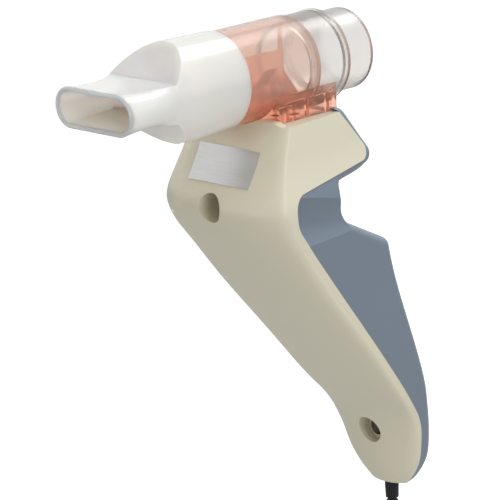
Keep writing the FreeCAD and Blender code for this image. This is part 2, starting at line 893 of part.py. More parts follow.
def hank_tie():
    """The strap round the middle of the hank."""
    thick = size("tie_thickness")
    gap = size("slip_gap")
    half_width = coil_outer() + gap
    half_depth = coil_half_depth() + gap
    tall = size("tie_width")
    middle = coil_middle()

    def block(grow):
        low = middle - Vector(half_width + grow, half_depth + grow, tall / 2)
        return Part.makeBox(2 * (half_width + grow), 2 * (half_depth + grow), tall, low)

    return block(thick).cut(block(0))


def hoses():
    """The two silicone hoses from the manifold's barbs to the pressure sensor's ports."""
    pieces = []
    for side in (-1, 1):
        reach = size("nipple_front") + size("nipple_pitch") / 2
        start = Vector(side * size("barb_offset"), reach, manifold_bottom() - size("seat_gap"))
        port = Vector(side * size("port_spacing") / 2, board_back() + size("sensor_port_height"),
                      size("sensor_level") + size("sensor_length") + size("seat_gap"))
        tilt = Rotation(Vector(1, 0, 0), size("grip_tilt"))
        shift = Vector(0, -size("tube_front"), -size("tube_level"))
        end = tilt.multVec(port) + shift
        along = tilt.multVec(Vector(0, 0, 1))
        below_pillar = size("upper_well_level") - size("pillar_radius") - size("hose_radius")
        turn_high = Vector(start.x, start.y, below_pillar)
        turn_low = end + along * (size("port_length") + 2 * size("port_radius"))
        pieces.append(swept([start, turn_high, turn_low, end], size("inner_bend"), size("hose_radius"),
                            size("barb_radius") + size("slip_gap")))
    return Part.makeCompound(pieces)


def board_back():
    """How far back the board's rear face lies in the grip's frame."""
    return size("board_front") + size("board_thickness")


def manifold_bottom():
    return size("recess_floor_level") - size("panel_thickness") - size("fit_gap") - size("manifold_height")


def inner_lead():
    """The cable inside the grip, from the strain relief up past the lower pillar to its connector."""
    tilt = Rotation(Vector(1, 0, 0), size("grip_tilt"))
    shift = Vector(0, -size("tube_front"), -size("tube_level"))
    exit_reach = size("cable_exit")
    top = relief_top()
    start = Vector(0, exit_reach, top + size("seat_gap"))
    side = size("pillar_radius") + size("cable_radius") + 2 * size("seat_gap")
    behind = size("lower_well_floor") + size("well_floor") + size("cable_radius") + size("seat_gap")
    middle = size("lower_well_level")
    low = Vector(0, exit_reach - 2 * size("seat_gap"), top + size("pillar_radius") + size("cable_radius"))
    beside = Vector(side, behind + size("seat_gap"), middle - size("pillar_radius"))
    above = Vector(side, behind, middle + size("well_radius") + size("fit_gap"))
    plug_half = size("connector_height") / 2
    socket = Vector(0, board_back() + plug_half, connector_low() - size("seat_gap"))
    end = tilt.multVec(socket) + shift
    before = tilt.multVec(socket - Vector(0, 0, 2 * size("inner_bend"))) + shift
    return swept([start, low, beside, above, before, end], size("inner_bend"), size("cable_radius"))


def relief_top():
    """The level of the strain relief's inner end in the tube frame."""
    return size("foot_level") + size("wall") + size("fit_gap") + size("relief_flange_height")


def connector_low():
    """How high the cable connector's lower end is along the grip."""
    return size("board_centre") - size("board_length") / 2 + size("connector_margin")


def label_plate():
    """The bare foil label on the sloping plate above the chin."""
    level = size("label_level")
    spread = size("label_height")
    names = list(STATIONS)
    high, low = station("brow"), station("plate")
    slope = math.atan2(high[1] - low[1], high[0] - low[0])
    thick = size("label_thickness")
    foil = Part.makeBox(size("label_width"), 40, spread, Vector(-size("label_width") / 2, -20, -spread / 2))
    foil.rotate(Vector(), Vector(1, 0, 0), -math.degrees(slope))
    foil.translate(Vector(0, low[1], level))
    outer = grip_form(0, -thick - size("slip_gap"))
    inner = grip_form(0, -size("slip_gap"))
    return foil.common(outer).cut(inner)


# Placing in the grip's sloping frame

def in_grip(item, x, y, z):
    """Binds the place of an object whose corner is given in the grip's frame, and tilts it."""
    turn(item, size("grip_tilt"), (1, 0, 0))
    return at(
        item, x,
        f"({y}) * cos(size.grip_tilt) - ({z}) * sin(size.grip_tilt)",
        f"({y}) * sin(size.grip_tilt) + ({z}) * cos(size.grip_tilt)",
    )


def chip(name, middle, low, width, length, height):
    """A component on the board's rear face, from expressions for its middle, low end and sides."""
    item = document.addObject("Part::Box", name)
    bind(item, Length=width, Width=height, Height=length)
    return in_grip(item, f"({middle}) - ({width}) / 2", BOARD_BACK, low)


BOARD_BACK = "size.board_front + size.board_thickness"


def grip_rod(name, radius, length, x, y, z, along="z"):
    """A cylinder in the grip's frame, along the grip or square to the board."""
    item = document.addObject("Part::Cylinder", name)
    bind(item, Radius=radius, Height=length)
    in_grip(item, x, y, z)
    if along == "y":
        turn(item, size("grip_tilt") - 90, (1, 0, 0))
        at(item, x, f"({y}) * cos(size.grip_tilt) - ({z}) * sin(size.grip_tilt)",
           f"({y}) * sin(size.grip_tilt) + ({z}) * cos(size.grip_tilt)")
    return item


# Sub-parts

def flow_tube_front():
    """The front half of the flow tube: spigot, barrel, ribbed port block and its two nipples."""
    wall = revolved("barrel", [
        ("size.spigot_bore", "-size.spigot_length"),
        ("size.spigot_radius", "-size.spigot_length"),
        ("size.spigot_radius", "0"),
        ("size.barrel_radius", "0"),
        ("size.barrel_radius", "size.barrel_length"),
        ("size.barrel_bore", "size.barrel_length"),
        ("size.barrel_bore", "2 * (size.barrel_bore - size.spigot_bore)"),
        ("size.spigot_bore", "0"),
    ])
    along_tube(wall)
    low = "size.tube_level - size.block_base"
    tall = "size.block_base - size.block_top"
    start = "size.tube_front + size.block_front"
    block = box("block", ("-size.block_half_width", start, low),
                ("2 * size.block_half_width", "size.block_rear - size.block_front", tall))
    bored = rod("block_bore", "(size.barrel_radius + size.barrel_bore) / 2", "size.barrel_length",
                ("0", "size.tube_front", "size.tube_level"), "y")
    saddle = rod("block_saddle", "size.sleeve_radius + size.seat_gap", "size.block_rear",
                 ("0", "size.tube_front + size.barrel_length", "size.tube_level"), "y")
    tools = [bored, saddle]
    cells = 3
    first = f"{start} + size.front_post"
    for side in (-1, 1):
        for cell in range(cells):
            left = f"{first} + {cell} * size.rib_pitch" + (" + size.rib_width / 2" if cell else "")
            right = f"{first} + {cell + 1} * size.rib_pitch - size.rib_width / 2"
            if cell == cells - 1:
                right = "size.tube_front + size.block_rear - size.rib_width"
            x = "size.block_half_width - size.rib_depth" if side > 0 else "-size.block_half_width - size.rib_depth"
            tools.append(box(
                f"cell_{cell}_{'left' if side < 0 else 'right'}",
                (x, left, "size.tube_level - size.block_foot"),
                ("2 * size.rib_depth", f"{right} - ({left})", "size.block_foot - size.block_lip"),
            ))
    housing = cut("port_housing", block, tools)
    solids = [wall, housing]
    bores = []
    for place in range(2):
        reach = f"size.tube_front + size.nipple_front + {place} * size.nipple_pitch"
        base = f"size.tube_level - size.block_base - size.nipple_length"
        solids.append(rod(f"nipple_{place}", "size.nipple_radius", "size.nipple_length + 1", ("0", reach, base)))
        bores.append(rod(f"nipple_bore_{place}", "size.nipple_bore",
                         "size.block_base + size.nipple_length - size.spigot_bore", ("0", reach, base)))
    return node(cut("flow_tube_front_body", joined("flow_tube_front_solid", solids), bores), "flow_tube_front")


def flow_tube_rear():
    """The clear rear half of the flow tube: glued-in tongue, sleeve, step ring and cuff."""
    start = "size.barrel_length - size.tongue_length"
    shoulder = "(size.barrel_length + size.slip_gap)"
    end = f"({shoulder} + size.sleeve_length)"
    ring = f"({end} + size.ring_width)"
    tube = revolved("clear_tube", [
        ("size.cuff_bore", start),
        ("size.barrel_bore - size.slip_gap", start),
        ("size.barrel_bore - size.slip_gap", shoulder),
        ("size.sleeve_radius", shoulder),
        ("size.sleeve_radius", end),
        ("size.ring_radius", end),
        ("size.ring_radius", ring),
        ("size.cuff_radius", ring),
        ("size.cuff_radius", f"{ring} + size.cuff_length"),
        ("size.cuff_bore", f"{ring} + size.cuff_length"),
        ("size.cuff_bore", ring),
        ("size.sleeve_bore", f"{end} - size.ring_width"),
        ("size.sleeve_bore", f"{shoulder} + size.ring_width"),
        ("size.cuff_bore", shoulder),
    ])
    return node(along_tube(tube), "flow_tube_rear")


def pressure_probe():
    """The fin, roof-shaped bluff body and upright blade that make the pressure difference in the tube."""
    gable = padded("gable", [
        ("-size.gable_half_width", "-size.barrel_radius"),
        ("-size.gable_half_width", "-size.gable_drop"),
        ("0", "0"),
        ("size.gable_half_width", "-size.gable_drop"),
        ("size.gable_half_width", "-size.barrel_radius"),
    ], "size.gable_length", "XZ_Plane")
    in_tube(gable, "size.gable_front + size.gable_length")
    fin = box("fin", ("-size.fin_width / 2", "size.tube_front + size.fin_front", "size.tube_level - size.barrel_radius"),
              ("size.fin_width", "size.fin_rear - size.fin_front", "size.barrel_radius + size.fin_top"))
    blade = box("blade", ("-size.blade_width / 2", "size.tube_front + size.fin_rear - size.blade_length / 2",
                          "size.tube_level - size.barrel_radius"),
                ("size.blade_width", "size.blade_length", "2 * size.barrel_radius"))
    probe = joined("probe_solid", [gable, fin, blade])
    room = rod("probe_room", "size.barrel_bore - size.slip_gap", "size.barrel_length",
               ("0", "size.tube_front", "size.tube_level"), "y")
    passage = []
    for place in range(2):
        passage.append(rod(f"probe_bore_{place}", "size.nipple_bore", "size.barrel_radius",
                           ("0", f"size.tube_front + size.nipple_front + {place} * size.nipple_pitch",
                            "size.tube_level - size.barrel_radius - size.gable_drop")))
    return node(cut("probe_body", common("probe_fitted", probe, room), passage), "pressure_probe")


def port_manifold():
    """The block under the head's top panel that takes the nipples and feeds the two hoses."""
    top = "size.tube_level + size.recess_floor_level - size.panel_thickness - size.fit_gap"
    low = f"{top} - size.manifold_height"
    front = "size.tube_front + size.nipple_front - size.manifold_margin"
    block = box("manifold_block", ("-size.manifold_half_width", front, low),
                ("2 * size.manifold_half_width", "size.nipple_pitch + 2 * size.manifold_margin", "size.manifold_height"))
    solids = [block]
    tools = []
    seals = []
    reach_in = "size.nipple_length - size.panel_thickness + 1"
    middle = "size.tube_front + size.nipple_front + size.nipple_pitch / 2"
    for place, side in ((0, "-1"), (1, "1")):
        reach = f"size.tube_front + size.nipple_front + {place} * size.nipple_pitch"
        x = f"{side} * size.barb_offset"
        floor = f"{top} - ({reach_in})"
        level = f"{floor} + size.nipple_bore"
        solids.append(rod(f"barb_{place}", "size.barb_radius", "size.barb_length + 1",
                          (x, middle, f"{low} - size.barb_length")))
        tools.append(rod(f"nipple_well_{place}", "size.nipple_radius + size.seat_gap", f"{reach_in} + 1",
                         ("0", reach, floor)))
        tools.append(rod(f"seal_well_{place}", "size.nipple_radius + 2 * size.seal_radius + size.slip_gap",
                         "size.seal_groove + 1", ("0", reach, f"{top} - size.seal_groove")))
        cross = "0" if side == "1" else "-size.barb_offset"
        tools.append(rod(f"cross_bore_{place}", "size.nipple_bore", "size.barb_offset", (cross, reach, level), "x"))
        tools.append(rod(f"long_bore_{place}", "size.nipple_bore", "size.nipple_pitch / 2",
                         (x, reach if side == "-1" else middle, level), "y"))
        tools.append(rod(f"barb_bore_{place}", "size.nipple_bore", f"{level} - ({low}) + size.barb_length",
                         (x, middle, f"{low} - size.barb_length")))
        seal = document.addObject("Part::Torus", f"seal_{place}")
        bind(seal, Radius1="size.nipple_radius + size.seal_radius + size.slip_gap / 2", Radius2="size.seal_radius")
        at(seal, "0", reach, f"{top} - size.seal_groove / 2")
        seals.append(seal)
    for place, side in ((0, "1"), (1, "-1")):
        x = f"{side} * size.barb_offset"
        reach = f"size.tube_front + size.nipple_front + {place} * size.nipple_pitch"
        tools.append(rod(f"manifold_hole_{place}", "size.board_screw_radius + size.fit_gap",
                         "size.manifold_height + 2", (x, reach, f"{low} - 1")))
    node(cut("manifold_body", joined("manifold_solid", solids), tools), "port_manifold")
    pair = document.addObject("Part::Compound", "seal_pair")
    pair.Links = seals
    node(pair, "port_seals")


def screw(name, shank, head, length, head_height):
    """A pan-head screw turned about Z, with its tip at the origin."""
    return revolved(name, [
        ("0", "0"),
        (shank, "0"),
        (shank, length),
        (head, length),
        (head, f"{length} + {head_height} * 0.6"),
        (f"{head} * 0.6", f"{length} + {head_height}"),
        ("0", f"{length} + {head_height}"),
    ])


def group(name, label, items):
    """Several like pieces as one node."""
    pieces = document.addObject("Part::Compound", name)
    pieces.Links = items
    return node(pieces, label)


def shell_screws():
    """The two screws at the bottom of the wells, driven from the front."""
    items = []
    for well, length in (("upper", "size.screw_length"), ("lower", "size.lower_screw_length")):
        item = screw(f"{well}_screw", "size.screw_radius", "size.screw_head_radius", length, "size.screw_head_height")
        turn(item, 90, (1, 0, 0))
        items.append(in_tube(item, f"size.{well}_well_floor + {length}", f"size.{well}_well_level"))
    group("shell_screw_set", "shell_screws", items)


def manifold_screws():
    """The two screws that hold the manifold up against the head's top panel."""
    length = "(size.manifold_height + size.fit_gap + size.manifold_screw_bite)"
    low = "size.recess_floor_level - size.panel_thickness - size.fit_gap - size.manifold_height"
    items = []
    for place, side in ((0, 1), (1, -1)):
        item = screw(f"manifold_screw_{place}", "size.board_screw_radius", "size.board_screw_head", length,
                     "size.board_screw_head_height")
        turn(item, 180, (1, 0, 0))
        at(item, f"{side} * size.barb_offset",
           f"size.tube_front + size.nipple_front + {place} * size.nipple_pitch",
           f"size.tube_level + {low} + {length}")
        items.append(item)
    group("manifold_screw_set", "manifold_screws", items)


def main_board():
    """The circuit board on its four bosses, drilled for its screws."""
    owner = body("board_body")
    half = "size.board_width / 2"
    low = "size.board_centre - size.board_length / 2"
    high = "size.board_centre + size.board_length / 2"
    outline = polygon(owner, "board_outline", "XY_Plane",
                      [(f"-{half}", low), (half, low), (half, high), (f"-{half}", high)])
    pad = owner.newObject("PartDesign::Pad", "board_pad")
    pad.Profile = outline
    bind(pad, Length="size.board_thickness")
    rings = [(x, z, "size.board_screw_radius + size.fit_gap") for x, z in hole_places()]
    pocketed(owner, "board_holes", circles(owner, "board_hole_rings", "XY_Plane", rings))
    turn(owner, 90 + size("grip_tilt"), (1, 0, 0))
    at(owner, "0", f"({BOARD_BACK}) * cos(size.grip_tilt)", f"({BOARD_BACK}) * sin(size.grip_tilt)")
    node(owner, "main_board")
    items = []
    for i, (x, z) in enumerate(hole_places()):
        length = "(size.board_thickness + size.board_screw_length)"
        item = screw(f"board_screw_{i}", "size.board_screw_radius", "size.board_screw_head", length,
                     "size.board_screw_head_height")
        in_grip(item, x, f"{BOARD_BACK} - {length}", z)
        tip = item.Placement.Base
        item.Placement = Placement(tip, Rotation(Vector(1, 0, 0), size("grip_tilt") - 90))
        items.append(item)
    group("board_screw_set", "board_screws", items)


def hole_places():
    """Expressions for the board's four screws: across and along the grip."""
    x = "(size.board_width / 2 - size.boss_inset)"
    z = "(size.board_length / 2 - size.boss_inset)"
    return [(f"{sx} * {x}", f"size.board_centre + {sz} * {z}") for sx in (-1, 1) for sz in (-1, 1)]


def electronics():
    """The components on the board's rear face."""
    body_box = chip("sensor_box", "0", "size.sensor_level", "size.sensor_width", "size.sensor_length",
                    "size.sensor_height")
    ports = []
    bores = []
    for side in (-1, 1):
        x = f"{side} * size.port_spacing / 2"
        y = f"{BOARD_BACK} + size.sensor_port_height"
        low = "size.sensor_level + size.sensor_length"
        ports.append(grip_rod(f"port_{side + 1}", "size.port_radius", "size.port_length + 1", x, y, f"{low} - 1"))
        bores.append(grip_rod(f"port_bore_{side + 1}", "size.nipple_bore", "size.port_length + 1", x, y, f"{low} + 1"))
    node(cut("sensor_body", joined("sensor_solid", [body_box] + ports), bores), "pressure_sensor")
    gap = "size.fit_gap"
    node(chip("processor_box", "0", "size.processor_level", "size.processor_side", "size.processor_side",
              "size.chip_height"), "microcontroller")
    node(chip("bridge_box", "size.bridge_offset", "size.bridge_level", "size.bridge_width", "size.bridge_width",
              "size.chip_height"), "usb_bridge")
    node(chip("ambient_box", "-size.bridge_offset", "size.ambient_level", "size.ambient_side", "size.ambient_side",
              "size.chip_height"), "ambient_sensor")
    node(chip("crystal_box", "-size.bridge_offset", "size.crystal_level", "size.crystal_width", "size.crystal_length",
              "size.crystal_height"), "crystal")
    cans = [
        grip_rod(f"can_{i}", "size.can_radius", "size.can_height", "size.bridge_offset", BOARD_BACK,
                 f"size.can_level + {i} * size.can_pitch", "y")
        for i in range(2)
    ]
    group("can_set", "capacitors", cans)
    header = chip("header_box", "0", "size.board_centre - size.board_length / 2 + size.connector_margin",
                  "size.connector_width", "size.connector_length", "size.connector_height")
    mouth = document.addObject("Part::Box", "header_mouth")
    bind(mouth, Length="2 * size.cable_radius + 2 * size.fit_gap", Width="2 * size.cable_radius + 2 * size.fit_gap",
         Height="size.connector_length / 2 + 1")
    in_grip(mouth, "-size.cable_radius - size.fit_gap",
            f"{BOARD_BACK} + size.connector_height / 2 - size.cable_radius - {gap}",
            "size.board_centre - size.board_length / 2 + size.connector_margin - 1")
    node(cut("header_body", header, [mouth]), "cable_connector")


def strain_relief():
    """The moulded bush that grips the cable in the foot: inner flange, smooth barrel and ribbed tail."""
    bore = "size.cable_radius + size.slip_gap"
    top = "size.wall + size.fit_gap + size.relief_flange_height"
    corners = [(bore, top), ("size.relief_radius - size.relief_taper", top), ("size.relief_radius", "0"),
               ("size.relief_radius - size.relief_taper", "-size.relief_barrel"), ("size.relief_core", "-size.relief_barrel")]
    for ring in range(RELIEF_RINGS):
        start = f"-size.relief_barrel - ({ring} + 0.5) * size.relief_pitch"
        radius = f"size.relief_ring - {ring} * size.relief_ring_taper"
        corners += [("size.relief_core", start), (radius, start),
                    (radius, f"{start} - size.relief_pitch / 2"), ("size.relief_core", f"{start} - size.relief_pitch / 2")]
    tail = f"-size.relief_barrel - {RELIEF_RINGS} * size.relief_pitch - size.relief_pitch / 2"
    corners += [("size.relief_core", tail), (bore, tail)]
    bush = revolved("relief_bush", corners)
    in_tube(bush, "size.cable_exit", "size.foot_level")
    flange = box("relief_flange_plate",
                 ("-size.relief_flange", "size.tube_front + size.cable_exit - size.relief_flange_depth / 2",
                  "size.tube_level + size.foot_level + size.wall + size.fit_gap"),
                 ("2 * size.relief_flange", "size.relief_flange_depth", "size.relief_flange_height"))
    hole = rod("relief_flange_hole", bore, "2 * size.wall + size.relief_flange_height",
               ("0", "size.tube_front + size.cable_exit", "size.tube_level + size.foot_level"))
    node(cut("relief_body", joined("relief_solid", [bush, flange]), [hole]), "strain_relief")


RELIEF_RINGS = 4


def relief_end():
    """The level of the strain relief's outer end in the tube frame."""
    return size("foot_level") - size("relief_barrel") - (RELIEF_RINGS + 0.5) * size("relief_pitch")


def usb_cable():
    """The cable's straight drop from the strain relief to the hank, and its tail from the hank to the plug."""
    drop = Part.makeCylinder(size("cable_radius"), relief_top() - coil_top() - size("fit_gap"),
                             Vector(0, size("cable_exit"), coil_top() + size("fit_gap")))
    return formed("cable_drop_form", drop)


def plug_top():
    """The level of the plug boot's upper end in the tube frame."""
    return coil_middle().z - size("coil_run") / 2 - coil_outer() - size("plug_drop")


def cable_tail():
    high = coil_middle().z - size("coil_run") / 2 - coil_outer() - size("fit_gap")
    deep = size("plug_boot") / 2
    tail = Part.makeCylinder(size("cable_radius"), high - plug_top() + deep, Vector(0, size("cable_exit"), plug_top() - deep))
    return formed("cable_tail_form", tail)


def usb_plug():
    """The plug at the cable's end: a moulded grip with its boot, a steel shell and the contact tongue."""
    level = plug_top()
    sheet.set("D2", str(level))
    sheet.setAlias("D2", "plug_level")
    document.recompute()
    owner = body("plug_grip")
    half_width, half_depth = "size.plug_width / 2", "size.plug_depth / 2"
    outline = polygon(owner, "plug_outline", "XY_Plane",
                      [(f"-{half_width}", f"-{half_depth}"), (half_width, f"-{half_depth}"),
                       (half_width, half_depth), (f"-{half_width}", half_depth)])
    pad = owner.newObject("PartDesign::Pad", "plug_pad")
    pad.Profile = outline
    bind(pad, Length="size.plug_length")
    document.recompute()
    upright = [f"Edge{i}" for i, edge in enumerate(pad.Shape.Edges, start=1)
               if abs(edge.valueAt(edge.FirstParameter).z - edge.valueAt(edge.LastParameter).z) > 1]
    rounded = owner.newObject("PartDesign::Fillet", "plug_round")
    rounded.Base = (pad, upright)
    bind(rounded, Radius="size.plug_round")
    in_tube(owner, "size.cable_exit", "size.plug_level - size.plug_boot - size.plug_length")
    boot = document.addObject("Part::Cone", "plug_boot_cone")
    bind(boot, Radius1="size.plug_depth / 2 - size.fit_gap", Radius2="size.plug_boot_radius", Height="size.plug_boot")
    in_tube(boot, "size.cable_exit", "size.plug_level - size.plug_boot")
    bore = rod("plug_bore", "size.cable_radius + size.slip_gap", "size.plug_boot",
               ("0", "size.tube_front + size.cable_exit", "size.tube_level + size.plug_level - size.plug_boot"))
    low = "size.tube_level + size.plug_level - size.plug_boot - size.plug_length"

    def sleeve(name, grow, base, height):
        return box(name, (f"-size.shell_width / 2 - ({grow})", f"size.tube_front + size.cable_exit - size.shell_depth / 2 - ({grow})", base),
                   (f"size.shell_width + 2 * ({grow})", f"size.shell_depth + 2 * ({grow})", height))

    socket = sleeve("plug_socket", "size.fit_gap", f"{low} - 1", "size.shell_buried + 1 + size.fit_gap")
    node(cut("plug_body", joined("plug_solid", [owner, boot]), [bore, socket]), "plug_overmould")
    start = f"{low} - size.shell_length"
    length = "size.shell_length + size.shell_buried"
    outer = sleeve("shell_outer", "0", start, length)
    inner = sleeve("shell_inner", "-size.shell_wall", f"{start} - 1", f"{length} + 2")
    windows = []
    for i, side in enumerate((-1, 1)):
        windows.append(box(f"shell_window_{i}", (f"{side} * size.shell_width / 4 - size.window_side / 2",
                           "size.tube_front + size.cable_exit - size.shell_depth", f"{start} + size.shell_length / 2 - size.window_side / 2"),
                          ("size.window_side", "2 * size.shell_depth", "size.window_side")))
    node(cut("shell_body", outer, [inner] + windows), "plug_shell")
    blade = box("tongue_box",
                ("-size.shell_width / 2 + size.shell_wall + size.fit_gap",
                 "size.tube_front + size.cable_exit - size.shell_depth / 2 + size.shell_wall + size.fit_gap",
                 f"{start} + size.shell_wall"),
                ("size.shell_width - 2 * size.shell_wall - 2 * size.fit_gap", "size.blade_thickness",
                 f"{length} - size.shell_wall"))
    node(blade, "plug_tongue")


def main():
    """Builds every sub-part, checks each and writes its file."""
    flow_tube_front()
    flow_tube_rear()
    pressure_probe()
    node(formed("mouthpiece_form", mouthpiece()), "mouthpiece")
    node(formed("front_shell_form", front_shell()), "front_shell")
    node(formed("rear_shell_form", rear_shell()), "rear_shell")
    node(formed("label_form", label_plate()), "type_label")
    shell_screws()
    port_manifold()
    manifold_screws()
    node(formed("hose_form", hoses()), "sensing_hoses")
    main_board()
    electronics()
    node(formed("inner_lead_form", inner_lead()), "inner_cable")
    strain_relief()
    node(usb_cable(), "usb_cable")
    node(formed("hank_form", cable_hank()), "usb_cable_hank")
    node(formed("tie_form", hank_tie()), "cable_tie")
    node(cable_tail(), "usb_cable_tail")
    usb_plug()
    document.recompute()
    for item in document.Objects:
        if any(flag in item.State for flag in ("Invalid", "Error")):
            raise RuntimeError(f"{item.Name} did not rebuild: {item.State}")
    os.makedirs("parts", exist_ok=True)
    for item in nodes:
        shape = item.Shape
        if shape.isNull() or not shape.isValid():
            raise RuntimeError(f"{item.Label} has no valid shape")
        shape.exportStep(f"parts/{item.Label}.step")
        print(f"{item.Label}: {len(shape.Solids)} solid(s), {shape.Volume:.0f} mm3")


if __name__ == "__main__":
    main()
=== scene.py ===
"""Studio scene of a hand-held spirometer: finishes, cable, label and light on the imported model's frame."""

import logging
import math
from dataclasses import dataclass, field
from enum import Enum

import bmesh
import bpy
from mathutils import Matrix, Vector

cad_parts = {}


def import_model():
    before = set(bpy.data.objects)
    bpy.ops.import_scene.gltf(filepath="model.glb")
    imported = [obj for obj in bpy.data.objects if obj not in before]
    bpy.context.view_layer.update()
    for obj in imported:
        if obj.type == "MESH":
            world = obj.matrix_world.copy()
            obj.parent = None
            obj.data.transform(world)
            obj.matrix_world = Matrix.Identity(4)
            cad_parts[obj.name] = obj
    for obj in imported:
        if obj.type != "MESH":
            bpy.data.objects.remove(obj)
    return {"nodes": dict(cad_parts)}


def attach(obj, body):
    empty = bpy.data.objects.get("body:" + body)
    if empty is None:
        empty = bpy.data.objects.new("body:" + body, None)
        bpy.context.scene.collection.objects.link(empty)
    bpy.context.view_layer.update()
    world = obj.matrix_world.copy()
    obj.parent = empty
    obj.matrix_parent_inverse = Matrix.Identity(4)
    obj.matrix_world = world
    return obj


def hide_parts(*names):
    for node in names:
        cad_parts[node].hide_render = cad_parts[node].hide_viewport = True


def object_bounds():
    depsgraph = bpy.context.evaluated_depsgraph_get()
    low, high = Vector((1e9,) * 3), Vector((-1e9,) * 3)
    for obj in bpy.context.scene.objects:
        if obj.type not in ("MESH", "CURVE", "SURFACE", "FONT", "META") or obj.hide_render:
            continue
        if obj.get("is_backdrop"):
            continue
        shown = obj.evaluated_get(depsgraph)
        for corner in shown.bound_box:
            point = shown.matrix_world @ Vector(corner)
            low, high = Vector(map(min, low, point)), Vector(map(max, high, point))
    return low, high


LOG = logging.getLogger("spirometer")
MM = 0.001
IMAGE_SIDE = 500
FLOOR_GAP = 4 * MM

Colour = tuple[float, float, float]


class Body(Enum):
    """The rigid bodies that pieces ride on."""

    HANDLE = "handle"
    FLOW_TUBE = "flow_tube"
    MOUTHPIECE = "mouthpiece"


class Side(Enum):
    """The object's two sides, as the sign of X there."""

    LEFT = -1
    RIGHT = 1


@dataclass(frozen=True)
class TubeFrame:
    """Where the flow tube's own frame lies: its origin is on the tube's axis at the mouthpiece's shoulder."""

    front: float = -43.0 * MM
    level: float = 83.0 * MM

    def at(self, x: float, y: float, z: float) -> Vector:
        """Turns a place in the tube's frame, in millimetres, into the shared frame in metres."""
        return Vector((x * MM, self.front + y * MM, self.level + z * MM))


TUBE = TubeFrame()


# Shader node groups


